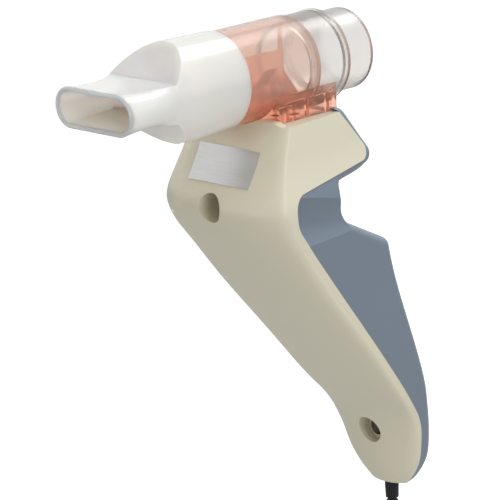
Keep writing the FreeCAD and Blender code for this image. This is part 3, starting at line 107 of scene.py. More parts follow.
class NodeGroups:
    """Shader node groups that several finishes share, each built once."""

    SKIN = [("Color", "NodeSocketColor"), ("Roughness", "NodeSocketFloat"), ("Height", "NodeSocketFloat")]

    @classmethod
    def _new(cls, name: str, inputs: list[tuple[str, str, float | tuple]]) -> tuple:
        """Starts a group with named inputs and a skin's outputs.

        Args:
            name: the group's name.
            inputs: name, socket type and default of each input.

        Returns:
            The group, its input node and its output node.
        """
        group = bpy.data.node_groups.new(name, "ShaderNodeTree")
        for label, kind, default in inputs:
            socket = group.interface.new_socket(name=label, in_out="INPUT", socket_type=kind)
            socket.default_value = default
        for label, kind in cls.SKIN:
            group.interface.new_socket(name=label, in_out="OUTPUT", socket_type=kind)
        return group, group.nodes.new("NodeGroupInput"), group.nodes.new("NodeGroupOutput")

    @staticmethod
    def _noise(group: bpy.types.NodeTree, place: bpy.types.NodeSocket, scale: float | bpy.types.NodeSocket,
               detail: float) -> bpy.types.NodeSocket:
        """Adds a noise texture.

        Args:
            group: the group to add it to.
            place: the coordinates that it reads.
            scale: its scale, as a number or as the socket that gives it.
            detail: its detail.

        Returns:
            The noise's value.
        """
        noise = group.nodes.new("ShaderNodeTexNoise")
        noise.inputs["Detail"].default_value = detail
        group.links.new(place, noise.inputs["Vector"])
        if isinstance(scale, float):
            noise.inputs["Scale"].default_value = scale
        else:
            group.links.new(scale, noise.inputs["Scale"])
        return noise.outputs["Fac"]

    @staticmethod
    def _reckon(group: bpy.types.NodeTree, operation: str,
                *terms: bpy.types.NodeSocket) -> bpy.types.NodeSocket:
        """Adds a piece of arithmetic.

        Args:
            group: the group to add it to.
            operation: the math node's operation.
            terms: what it works on, in order.

        Returns:
            The result's socket.
        """
        reckoned = group.nodes.new("ShaderNodeMath")
        reckoned.operation = operation
        for term, entry in zip(terms, reckoned.inputs):
            group.links.new(term, entry)
        return reckoned.outputs[0]

    @classmethod
    def _finish(cls, group: bpy.types.NodeTree, entry: bpy.types.Node, leave: bpy.types.Node,
                share: bpy.types.NodeSocket, unevenness: bpy.types.NodeSocket) -> None:
        """Feeds a skin's colour and roughness outputs.

        Args:
            group: the skin group.
            entry: its input node.
            leave: its output node.
            share: how far the colour goes over to the shade.
            unevenness: how much of the spread is added to the roughness.
        """
        blend = group.nodes.new("ShaderNodeMix")
        blend.data_type = "RGBA"
        group.links.new(share, blend.inputs["Factor"])
        group.links.new(entry.outputs["Color"], blend.inputs["A"])
        group.links.new(entry.outputs["Shade"], blend.inputs["B"])
        group.links.new(blend.outputs["Result"], leave.inputs["Color"])
        roughness = cls._reckon(group, "MULTIPLY_ADD", unevenness, entry.outputs["Spread"],
                                entry.outputs["Roughness"])
        group.links.new(roughness, leave.inputs["Roughness"])

    @classmethod
    def moulded(cls) -> bpy.types.NodeTree:
        """The skin of a moulded plastic part: a slight flow mottle, uneven gloss and a fine grain.

        Returns:
            The group, with Color, Roughness and Height outputs.
        """
        found = bpy.data.node_groups.get("MouldedSkin")
        if found:
            return found
        group, entry, leave = cls._new(
            "MouldedSkin",
            [
                ("Color", "NodeSocketColor", (0.8, 0.8, 0.8, 1.0)),
                ("Shade", "NodeSocketColor", (0.7, 0.7, 0.7, 1.0)),
                ("Mottle", "NodeSocketFloat", 0.25),
                ("Roughness", "NodeSocketFloat", 0.4),
                ("Spread", "NodeSocketFloat", 0.06),
                ("Grain Scale", "NodeSocketFloat", 2500.0),
                ("Grain", "NodeSocketFloat", 0.5),
            ],
        )
        place = group.nodes.new("ShaderNodeTexCoord").outputs["Object"]
        cloud = cls._noise(group, place, 22.0, 3.0)
        handled = cls._noise(group, place, 90.0, 5.0)
        grain = cls._noise(group, place, entry.outputs["Grain Scale"], 2.0)
        mottle = cls._reckon(group, "MULTIPLY", cloud, entry.outputs["Mottle"])
        cls._finish(group, entry, leave, mottle, handled)
        depth = cls._reckon(group, "MULTIPLY", grain, entry.outputs["Grain"])
        group.links.new(depth, leave.inputs["Height"])
        return group

    @classmethod
    def brushed(cls) -> bpy.types.NodeTree:
        """Fine brush lines along X for foil and bright metal.

        Returns:
            The group, with Color, Roughness and Height outputs.
        """
        found = bpy.data.node_groups.get("BrushedLines")
        if found:
            return found
        group, entry, leave = cls._new(
            "BrushedLines",
            [
                ("Color", "NodeSocketColor", (0.7, 0.7, 0.7, 1.0)),
                ("Shade", "NodeSocketColor", (0.5, 0.5, 0.5, 1.0)),
                ("Roughness", "NodeSocketFloat", 0.3),
                ("Spread", "NodeSocketFloat", 0.15),
                ("Line Scale", "NodeSocketFloat", 400.0),
            ],
        )
        place = group.nodes.new("ShaderNodeTexCoord").outputs["Object"]
        stretch = group.nodes.new("ShaderNodeMapping")
        stretch.inputs["Scale"].default_value = (0.06, 6.0, 6.0)
        group.links.new(place, stretch.inputs["Vector"])
        lines = cls._noise(group, stretch.outputs["Vector"], entry.outputs["Line Scale"], 6.0)
        cls._finish(group, entry, leave, lines, lines)
        group.links.new(lines, leave.inputs["Height"])
        return group


def opaque(colour: Colour) -> tuple[float, float, float, float]:
    """Adds a full alpha to a colour."""
    return (*colour, 1.0)


@dataclass(frozen=True)
class Finish:
    """A surface finish that makes its own material once."""

    name: str
    colour: Colour
    shade: Colour
    roughness: float = 0.4
    spread: float = 0.06

    def material(self) -> bpy.types.Material:
        """Finds this finish's material, or makes it on first use.

        Returns:
            The material.
        """
        found = bpy.data.materials.get(self.name)
        if found:
            return found
        made = bpy.data.materials.new(self.name)
        made.use_nodes = True
        made.diffuse_color = opaque(self.colour)
        shader = made.node_tree.nodes["Principled BSDF"]
        self.dress(made, shader)
        return made

    def dress(self, made: bpy.types.Material, shader: bpy.types.Node) -> None:
        """Fills the material's node tree.

        Args:
            made: the new material.
            shader: its Principled BSDF.
        """
        raise NotImplementedError

    def skin(self, made: bpy.types.Material, shader: bpy.types.Node, group: bpy.types.NodeTree,
             values: dict[str, float]) -> bpy.types.Node:
        """Feeds the shader's colour and roughness from a skin group.

        Args:
            made: the material that is being built.
            shader: its Principled BSDF.
            group: the node group to place.
            values: the group's own inputs besides the colours and roughness.

        Returns:
            The placed group node.
        """
        nodes, links = made.node_tree.nodes, made.node_tree.links
        placed = nodes.new("ShaderNodeGroup")
        placed.node_tree = group
        placed.inputs["Color"].default_value = opaque(self.colour)
        placed.inputs["Shade"].default_value = opaque(self.shade)
        placed.inputs["Roughness"].default_value = self.roughness
        placed.inputs["Spread"].default_value = self.spread
        for label, value in values.items():
            placed.inputs[label].default_value = value
        links.new(placed.outputs["Color"], shader.inputs["Base Color"])
        links.new(placed.outputs["Roughness"], shader.inputs["Roughness"])
        return placed

    def relief(self, made: bpy.types.Material, shader: bpy.types.Node, placed: bpy.types.Node,
               bump: float) -> None:
        """Bumps the surface by a skin's height.

        Args:
            made: the material that is being built.
            shader: its Principled BSDF.
            placed: the placed skin group.
            bump: the bump's height in metres.
        """
        raised = made.node_tree.nodes.new("ShaderNodeBump")
        raised.inputs["Distance"].default_value = bump
        raised.inputs["Strength"].default_value = 1.0
        made.node_tree.links.new(placed.outputs["Height"], raised.inputs["Height"])
        made.node_tree.links.new(raised.outputs["Normal"], shader.inputs["Normal"])


@dataclass(frozen=True)
class MouldedPlastic(Finish):
    """Opaque moulded plastic with a fine spark-eroded grain."""

    mottle: float = 0.25
    grain_scale: float = 2500.0
    grain: float = 0.5
    bump: float = 0.00004
    coat: float = 0.0
    coat_roughness: float = 0.12
    subsurface: float = 0.0
    bleed: tuple[float, float, float] = (8.0 * MM, 6.5 * MM, 5.0 * MM)
    specular: float = 0.5

    def dress(self, made: bpy.types.Material, shader: bpy.types.Node) -> None:
        """Fills the tree from the moulded skin group.

        Args:
            made: the new material.
            shader: its Principled BSDF.
        """
        values = {"Mottle": self.mottle, "Grain Scale": self.grain_scale, "Grain": self.grain}
        placed = self.skin(made, shader, NodeGroups.moulded(), values)
        self.relief(made, shader, placed, self.bump)
        shader.inputs["Specular IOR Level"].default_value = self.specular
        shader.inputs["Coat Weight"].default_value = self.coat
        shader.inputs["Coat Roughness"].default_value = self.coat_roughness
        if self.subsurface:
            shader.inputs["Subsurface Weight"].default_value = self.subsurface
            shader.inputs["Subsurface Radius"].default_value = self.bleed
            shader.inputs["Subsurface Scale"].default_value = 1.0


@dataclass(frozen=True)
class ClearPlastic(Finish):
    """See-through plastic whose tint deepens with thickness.

    A second colour may take over below a level, which is in millimetres in the tube's frame.
    """

    tint: Colour = (0.9, 0.9, 0.9)
    density: float = 10.0
    ior: float = 1.49
    clearness: float = 1.0
    mottle: float = 0.3
    thick_colour: Colour | None = None
    thick_top: float = -10.0
    thin_from: float = -4.0

    def deepen(self, made: bpy.types.Material, placed: bpy.types.Node) -> None:
        """Deepens the colour towards the thick mouldings at the piece's foot.

        Args:
            made: the material that is being built.
            placed: its skin group, whose colours are fed here.
        """
        nodes, links = made.node_tree.nodes, made.node_tree.links
        place = nodes.new("ShaderNodeTexCoord")
        apart = nodes.new("ShaderNodeSeparateXYZ")
        links.new(place.outputs["Object"], apart.inputs["Vector"])
        rise = nodes.new("ShaderNodeMapRange")
        rise.inputs["From Min"].default_value = TUBE.at(0, 0, self.thick_top).z
        rise.inputs["From Max"].default_value = TUBE.at(0, 0, self.thin_from).z
        links.new(apart.outputs["Z"], rise.inputs["Value"])
        for label, colour in (("Color", self.colour), ("Shade", self.shade)):
            blend = nodes.new("ShaderNodeMix")
            blend.data_type = "RGBA"
            blend.inputs["A"].default_value = opaque(self.thick_colour)
            blend.inputs["B"].default_value = opaque(colour)
            links.new(rise.outputs["Result"], blend.inputs["Factor"])
            links.new(blend.outputs["Result"], placed.inputs[label])

    def dress(self, made: bpy.types.Material, shader: bpy.types.Node) -> None:
        """Sets a transmissive shader with an absorbing inside.

        Args:
            made: the new material.
            shader: its Principled BSDF.
        """
        nodes, links = made.node_tree.nodes, made.node_tree.links
        placed = self.skin(made, shader, NodeGroups.moulded(), {"Mottle": self.mottle})
        if self.thick_colour:
            self.deepen(made, placed)
        shader.inputs["Transmission Weight"].default_value = self.clearness
        shader.inputs["IOR"].default_value = self.ior
        inside = nodes.new("ShaderNodeVolumeAbsorption")
        inside.inputs["Color"].default_value = opaque(self.tint)
        inside.inputs["Density"].default_value = self.density
        links.new(inside.outputs["Volume"], nodes["Material Output"].inputs["Volume"])


@dataclass(frozen=True)
class BrushedMetal(Finish):
    """Metal or metal foil with brush lines."""

    line_scale: float = 400.0
    metallic: float = 1.0
    bump: float = 0.00001

    def dress(self, made: bpy.types.Material, shader: bpy.types.Node) -> None:
        """Fills the tree from the brushed group.

        Args:
            made: the new material.
            shader: its Principled BSDF.
        """
        placed = self.skin(made, shader, NodeGroups.brushed(), {"Line Scale": self.line_scale})
        self.relief(made, shader, placed, self.bump)
        shader.inputs["Metallic"].default_value = self.metallic


CREAM = MouldedPlastic("cream_shell", (0.78, 0.74, 0.585), (0.745, 0.705, 0.555), roughness=0.34,
                       spread=0.08, coat=0.08)
BLUE = MouldedPlastic("blue_shell", (0.19, 0.24, 0.305), (0.175, 0.225, 0.29), roughness=0.32, spread=0.08)
WHITE = MouldedPlastic("mouth_white", (0.925, 0.872, 0.79), (0.905, 0.852, 0.77), roughness=0.15,
                       spread=0.05, grain=0.15, bump=0.00002, coat=0.3, subsurface=0.85)
PINK = ClearPlastic("pink_clear", (0.87, 0.73, 0.66), (0.85, 0.71, 0.64), roughness=0.1, spread=0.05,
                    tint=(0.98, 0.58, 0.45), density=28.0, ior=1.2, clearness=0.87,
                    thick_colour=(1.0, 0.63, 0.49))
ORANGE = ClearPlastic("probe_clear", (0.97, 0.68, 0.57), (0.96, 0.66, 0.55), roughness=0.14, spread=0.06,
                      tint=(1.0, 0.55, 0.36), density=24.0, ior=1.1, clearness=0.74)
CLEAR = ClearPlastic("tube_clear", (0.82, 0.8, 0.785), (0.8, 0.78, 0.765), roughness=0.2, spread=0.06,
                     tint=(0.58, 0.54, 0.5), density=120.0, ior=1.35)
FOIL = BrushedMetal("label_foil", (0.64, 0.64, 0.63), (0.52, 0.52, 0.52), roughness=0.3, spread=0.16)
STEEL = BrushedMetal("screw_steel", (0.52, 0.52, 0.5), (0.4, 0.4, 0.38), roughness=0.32, spread=0.12,
                     line_scale=900.0)
# The shell screws' steel is darkened to paint the shade deep in their wells.
SHADED_SCREW_STEEL = BrushedMetal("screw_painted_shade", (0.1, 0.09, 0.08), (0.07, 0.062, 0.055), roughness=0.4, spread=0.12,
                          line_scale=900.0)
NICKEL = BrushedMetal("plug_nickel", (0.74, 0.73, 0.7), (0.62, 0.61, 0.59), roughness=0.2, spread=0.1,
                      line_scale=700.0)
RUBBER = MouldedPlastic("black_rubber", (0.008, 0.008, 0.009), (0.014, 0.014, 0.015), roughness=0.42,
                        spread=0.12, mottle=0.5, grain=0.8, specular=0.3)
BLACK = MouldedPlastic("black_plastic", (0.022, 0.022, 0.024), (0.035, 0.035, 0.037), roughness=0.38,
                       spread=0.1, mottle=0.4)
MILKY = MouldedPlastic("milky_silicone", (0.68, 0.68, 0.65), (0.6, 0.6, 0.57), roughness=0.35, spread=0.1,
                       subsurface=0.3)
IVORY = MouldedPlastic("ivory_nylon", (0.8, 0.79, 0.74), (0.74, 0.73, 0.68), roughness=0.38, spread=0.08)
SALMON = MouldedPlastic("seal_silicone", (0.72, 0.3, 0.21), (0.66, 0.26, 0.18), roughness=0.35, spread=0.1,
                        subsurface=0.3)
GREEN = MouldedPlastic("board_mask", (0.015, 0.1, 0.045), (0.02, 0.13, 0.06), roughness=0.3, spread=0.08,
                       mottle=0.6, coat=0.3)
CAN = BrushedMetal("can_aluminium", (0.7, 0.7, 0.72), (0.58, 0.58, 0.6), roughness=0.25, spread=0.12)

NODE_FINISHES: dict[str, Finish] = {
    "mouthpiece": WHITE,
    "flow_tube_front": PINK,
    "pressure_probe": ORANGE,
    "flow_tube_rear": CLEAR,
    "front_shell": CREAM,
    "rear_shell": BLUE,
    "type_label": FOIL,
    "shell_screws": SHADED_SCREW_STEEL,
    "port_manifold": IVORY,
    "port_seals": SALMON,
    "manifold_screws": STEEL,
    "sensing_hoses": MILKY,
    "main_board": GREEN,
    "board_screws": STEEL,
    "pressure_sensor": BLACK,
    "microcontroller": BLACK,
    "usb_bridge": BLACK,
    "ambient_sensor": CAN,
    "crystal": CAN,
    "capacitors": CAN,
    "cable_connector": IVORY,
    "inner_cable": RUBBER,
    "strain_relief": RUBBER,
    "plug_overmould": BLACK,
    "plug_shell": NICKEL,
    "plug_tongue": IVORY,
}


# Studio


@dataclass(frozen=True)
class Viewpoint:
    """The photograph's camera, fitted to the object.

    It orbits the tube's frame, rolls about its own axis and aims a little beside the frame's origin.
    """

    azimuth: float = 45.609
    elevation: float = 15.75
    roll: float = -2.753
    focal_pixels: float = 2877.5
    distance: float = 940.5 * MM
    aim_right: float = 11.186 * MM
    aim_up: float = -55.43 * MM
    sensor_width: float = 36.0
    near: float = 0.05
    far: float = 50.0

    def place(self) -> None:
        """Makes the camera and looks through it."""
        a, e, r = (math.radians(v) for v in (self.azimuth, self.elevation, self.roll))
        back = Vector((math.sin(a) * math.cos(e), -math.cos(a) * math.cos(e), math.sin(e)))
        right = (-back).cross(Vector((0, 0, 1))).normalized()
        up = right.cross(-back)
        rolled_right = math.cos(r) * right + math.sin(r) * up
        rolled_up = -math.sin(r) * right + math.cos(r) * up
        centre = TUBE.at(0, 0, 0)
        spot = centre + back * self.distance + rolled_right * self.aim_right + rolled_up * self.aim_up
        lens = bpy.data.cameras.new("photo_camera")
        lens.sensor_width = self.sensor_width
        lens.lens = self.focal_pixels / IMAGE_SIDE * self.sensor_width
        lens.clip_start = self.near
        lens.clip_end = self.far
        camera = bpy.data.objects.new("photo_camera", lens)
        turn = Matrix((rolled_right, rolled_up, back)).transposed().to_4x4()
        camera.matrix_world = Matrix.Translation(spot) @ turn
        bpy.context.scene.collection.objects.link(camera)
        bpy.context.scene.camera = camera


@dataclass(frozen=True)
class SoftBox:
    """A square area lamp aimed at the object."""

    name: str
    spot: tuple[float, float, float]
    aim: tuple[float, float, float]
    side: float
    power: float
    tone: Colour = (1.0, 1.0, 1.0)
    spread: float = math.pi

    def light(self) -> None:
        """Adds the lamp."""
        lamp = bpy.data.lights.new(self.name, "AREA")
        lamp.shape = "SQUARE"
        lamp.size = self.side
        lamp.energy = self.power
        lamp.color = self.tone
        lamp.spread = self.spread
        holder = bpy.data.objects.new(self.name, lamp)
        holder.location = self.spot
        holder.rotation_euler = (Vector(self.aim) - Vector(self.spot)).to_track_quat("-Z", "Y").to_euler()
        bpy.context.scene.collection.objects.link(holder)


def directly_seen(tree: bpy.types.NodeTree) -> tuple[bpy.types.Node, bpy.types.NodeSocket]:
    """Adds the test for what the camera sees, plainly or through clear pieces.

    Args:
        tree: the node tree to add it to.

    Returns:
        The light path node and the test's result.
    """
    path = tree.nodes.new("ShaderNodeLightPath")
    seen = tree.nodes.new("ShaderNodeMath")
    seen.operation = "MAXIMUM"
    tree.links.new(path.outputs["Is Camera Ray"], seen.inputs[0])
    tree.links.new(path.outputs["Is Transmission Ray"], seen.inputs[1])
    return path, seen.outputs[0]


@dataclass
class Studio:
    """A pale floor, a white surround and soft lamps."""

    floor_level: float
    floor_side: float = 12.0
    floor_paint: Colour = (0.62, 0.62, 0.61)
    floor_glow: float = 0.72
    fill: float = 0.38
    lamps: tuple[SoftBox, ...] = field(default_factory=lambda: (
        SoftBox("side_lamp", spot=(1.5, -0.3, 0.55), aim=(0.0, 0.0, 0.0), side=0.9, power=8.5,
                tone=(1.0, 0.99, 0.965)),
        SoftBox("overhead_lamp", spot=(0.15, 0.4, 1.25), aim=(0.0, 0.0, 0.0), side=1.1, power=7.5,
                tone=(1.0, 0.995, 0.985)),
        SoftBox("back_lamp", spot=(-0.15, 1.0, 1.05), aim=(0.0, 0.0, 0.05), side=0.6, power=5.0),
        SoftBox("front_lamp", spot=(-0.3, -1.6, 0.05), aim=(0.0, 0.0, 0.02), side=0.7, power=2.6,
                tone=(1.0, 0.985, 0.97)),
        SoftBox("mouth_lamp", spot=(0.6, -1.08, 0.19), aim=(0.0, -0.099, 0.081), side=0.04, power=0.0034,
                tone=(1.0, 0.94, 0.9), spread=math.radians(3)),
    ))

    def surround(self) -> None:
        """Gives the world a soft fill that camera, glossy and see-through rays meet as white."""
        world = bpy.data.worlds.new("white_surround")
        world.use_nodes = True
        bpy.context.scene.world = world
        nodes, links = world.node_tree.nodes, world.node_tree.links
        nodes.clear()
        path, seen = directly_seen(world.node_tree)
        dim = nodes.new("ShaderNodeBackground")
        dim.inputs["Color"].default_value = (1.0, 1.0, 1.0, 1.0)
        dim.inputs["Strength"].default_value = self.fill
        bright = nodes.new("ShaderNodeBackground")
        bright.inputs["Color"].default_value = (1.0, 1.0, 1.0, 1.0)
        bright.inputs["Strength"].default_value = 1.0
        mirrored = nodes.new("ShaderNodeMath")
        mirrored.operation = "MAXIMUM"
        links.new(seen, mirrored.inputs[0])
        links.new(path.outputs["Is Glossy Ray"], mirrored.inputs[1])
        blend = nodes.new("ShaderNodeMixShader")
        links.new(mirrored.outputs[0], blend.inputs["Fac"])
        links.new(dim.outputs["Background"], blend.inputs[1])
        links.new(bright.outputs["Background"], blend.inputs[2])
        leave = nodes.new("ShaderNodeOutputWorld")
        links.new(blend.outputs["Shader"], leave.inputs["Surface"])

    def floor(self) -> None:
        """Lays the floor, which camera rays see as white apart from the object's shadow."""
        mesh = bmesh.new()
        bmesh.ops.create_grid(mesh, x_segments=1, y_segments=1, size=self.floor_side / 2)
        bmesh.ops.translate(mesh, verts=mesh.verts, vec=(0.0, 0.0, self.floor_level))
        data = bpy.data.meshes.new("floor")
        mesh.to_mesh(data)
        mesh.free()
        plane = bpy.data.objects.new("floor", data)
        bpy.context.scene.collection.objects.link(plane)
        plane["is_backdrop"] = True
        paint = bpy.data.materials.new("floor_paint")
        paint.use_nodes = True
        nodes, links = paint.node_tree.nodes, paint.node_tree.links
        nodes.clear()
        seen = directly_seen(paint.node_tree)[1]
        matt = nodes.new("ShaderNodeBsdfDiffuse")
        matt.inputs["Color"].default_value = opaque(self.floor_paint)
        glow = nodes.new("ShaderNodeEmission")
        glow.inputs["Color"].default_value = (1.0, 1.0, 1.0, 1.0)
        glow.inputs["Strength"].default_value = self.floor_glow
        off = nodes.new("ShaderNodeEmission")
        off.inputs["Strength"].default_value = 0.0
        lit = nodes.new("ShaderNodeMixShader")
        links.new(seen, lit.inputs["Fac"])
        links.new(off.outputs["Emission"], lit.inputs[1])
        links.new(glow.outputs["Emission"], lit.inputs[2])
        total = nodes.new("ShaderNodeAddShader")
        links.new(matt.outputs["BSDF"], total.inputs[0])
        links.new(lit.outputs["Shader"], total.inputs[1])
        leave = nodes.new("ShaderNodeOutputMaterial")
        links.new(total.outputs["Shader"], leave.inputs["Surface"])
        data.materials.append(paint)

    def build(self) -> None:
        """Sets up the whole studio."""
        self.surround()
        self.floor()
        for lamp in self.lamps:
            lamp.light()
        bpy.context.scene.view_settings.view_transform = "Standard"


# Pieces


def link_piece(name: str, mesh: bmesh.types.BMesh, finish: Finish, body: Body) -> bpy.types.Object:
    """Turns a bmesh into a piece of the object.

    Args:
        name: the piece's name.
        mesh: the finished bmesh, which is freed.
        finish: its surface finish.
        body: the body that it rides on.

    Returns:
        The new object.
    """
    data = bpy.data.meshes.new(name)
    mesh.to_mesh(data)
    mesh.free()
    for face in data.polygons:
        face.use_smooth = True
    piece = bpy.data.objects.new(name, data)
    bpy.context.scene.collection.objects.link(piece)
    data.materials.append(finish.material())
    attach(piece, body.value)
    LOG.info("%s: %d faces, rides on %s", name, len(data.polygons), body.value)
    return piece


@dataclass
class LipBead:
    """The soft rounded edge round the mouthpiece's opening, in millimetres in the tube's frame."""

    front: float = -53.6
    flat: float = 11.2
    bend: float = 6.05
    radius: float = 0.8
    sides: int = 14
    steps: int = 28

    def half_turn(self, mesh: bmesh.types.BMesh, ring: list[bmesh.types.BMEdge],
                  side: Side) -> list[bmesh.types.BMEdge]:
        """Sweeps the ring round one end of the opening and along to the other end.

        Args:
            mesh: the bmesh that grows.
            ring: the edges of the bead's section where the sweep starts.
            side: the end that it goes round.

        Returns:
            The edges of the section where the sweep stops.
        """
        centre = (side.value * self.flat, self.front, 0.0)
        swept = bmesh.ops.spin(mesh, geom=ring, cent=centre, axis=(0.0, 1.0, 0.0), angle=math.pi,
                               steps=self.steps)
        reached = [item for item in swept["geom_last"] if isinstance(item, bmesh.types.BMEdge)]
        drawn = bmesh.ops.extrude_edge_only(mesh, edges=reached)["geom"]
        moved = [item for item in drawn if isinstance(item, bmesh.types.BMVert)]
        bmesh.ops.translate(mesh, verts=moved, vec=(-2 * side.value * self.flat, 0.0, 0.0))
        return [item for item in drawn if isinstance(item, bmesh.types.BMEdge)
                and all(end in moved for end in item.verts)]

    def build(self) -> bpy.types.Object:
        """Sweeps the bead along the whole rim.

        Returns:
            The new piece.
        """
        mesh = bmesh.new()
        start = Matrix.Translation((self.flat, self.front, self.bend)) @ Matrix.Rotation(math.pi / 2, 4, "Y")
        bmesh.ops.create_circle(mesh, cap_ends=False, segments=self.sides, radius=self.radius, matrix=start)
        ring = mesh.edges[:]
        for side in (Side.RIGHT, Side.LEFT):
            ring = self.half_turn(mesh, ring, side)
        bmesh.ops.remove_doubles(mesh, verts=mesh.verts[:], dist=0.001)
        bmesh.ops.recalc_face_normals(mesh, faces=mesh.faces[:])
        bmesh.ops.scale(mesh, verts=mesh.verts, vec=(MM, MM, MM))
        bmesh.ops.translate(mesh, verts=mesh.verts, vec=TUBE.at(0, 0, 0))
        return link_piece("lip_bead", mesh, WHITE, Body.MOUTHPIECE)


@dataclass
class ScoopWeb:
    """The thin web inside the shells that closes the corner in front of a finger scoop.

    The path lists the parting line's level and depth there, in millimetres in the tube's frame.
    """

    side: Side
    inner: float = 21.8
    outer: float = 26.4
    thickness: float = 1.2
    edge: float = 0.2
    path: tuple[tuple[float, float], ...] = (
        (-38.6, 8.6), (-40.2, 7.8), (-42.0, 7.2), (-45.0, 7.0), (-48.0, 7.8), (-49.6, 8.8), (-51.2, 10.0),
    )

    def build(self) -> bpy.types.Object:
        """Draws the web along its path.

        Returns:
            The new piece.
        """
        mesh = bmesh.new()
        bmesh.ops.create_grid(mesh, x_segments=1, y_segments=1, size=0.5)
        bmesh.ops.scale(mesh, verts=mesh.verts, vec=(self.outer - self.inner, self.thickness, 1.0))
        level, depth = self.path[0]
        across = self.side.value * (self.inner + self.outer) / 2
        bmesh.ops.translate(mesh, verts=mesh.verts, vec=(across, depth - self.thickness / 2, level))
        end = mesh.faces[:]
        for (level, depth), (next_level, next_depth) in zip(self.path, self.path[1:]):
            drawn = bmesh.ops.extrude_face_region(mesh, geom=end)["geom"]
            moved = [item for item in drawn if isinstance(item, bmesh.types.BMVert)]
            bmesh.ops.translate(mesh, verts=moved, vec=(0.0, next_depth - depth, next_level - level))
            end = [item for item in drawn if isinstance(item, bmesh.types.BMFace)]
        bmesh.ops.recalc_face_normals(mesh, faces=mesh.faces[:])
        sharp = [item for item in mesh.edges if item.calc_face_angle(0.0) > math.radians(57)]
        bmesh.ops.bevel(mesh, geom=sharp, offset=self.edge, segments=2, profile=0.5, affect="EDGES",
                        material=-1)
        bmesh.ops.scale(mesh, verts=mesh.verts, vec=(MM, MM, MM))
        bmesh.ops.translate(mesh, verts=mesh.verts, vec=TUBE.at(0, 0, 0))
        return link_piece(f"scoop_web_{self.side.name.lower()}", mesh, BLUE, Body.HANDLE)


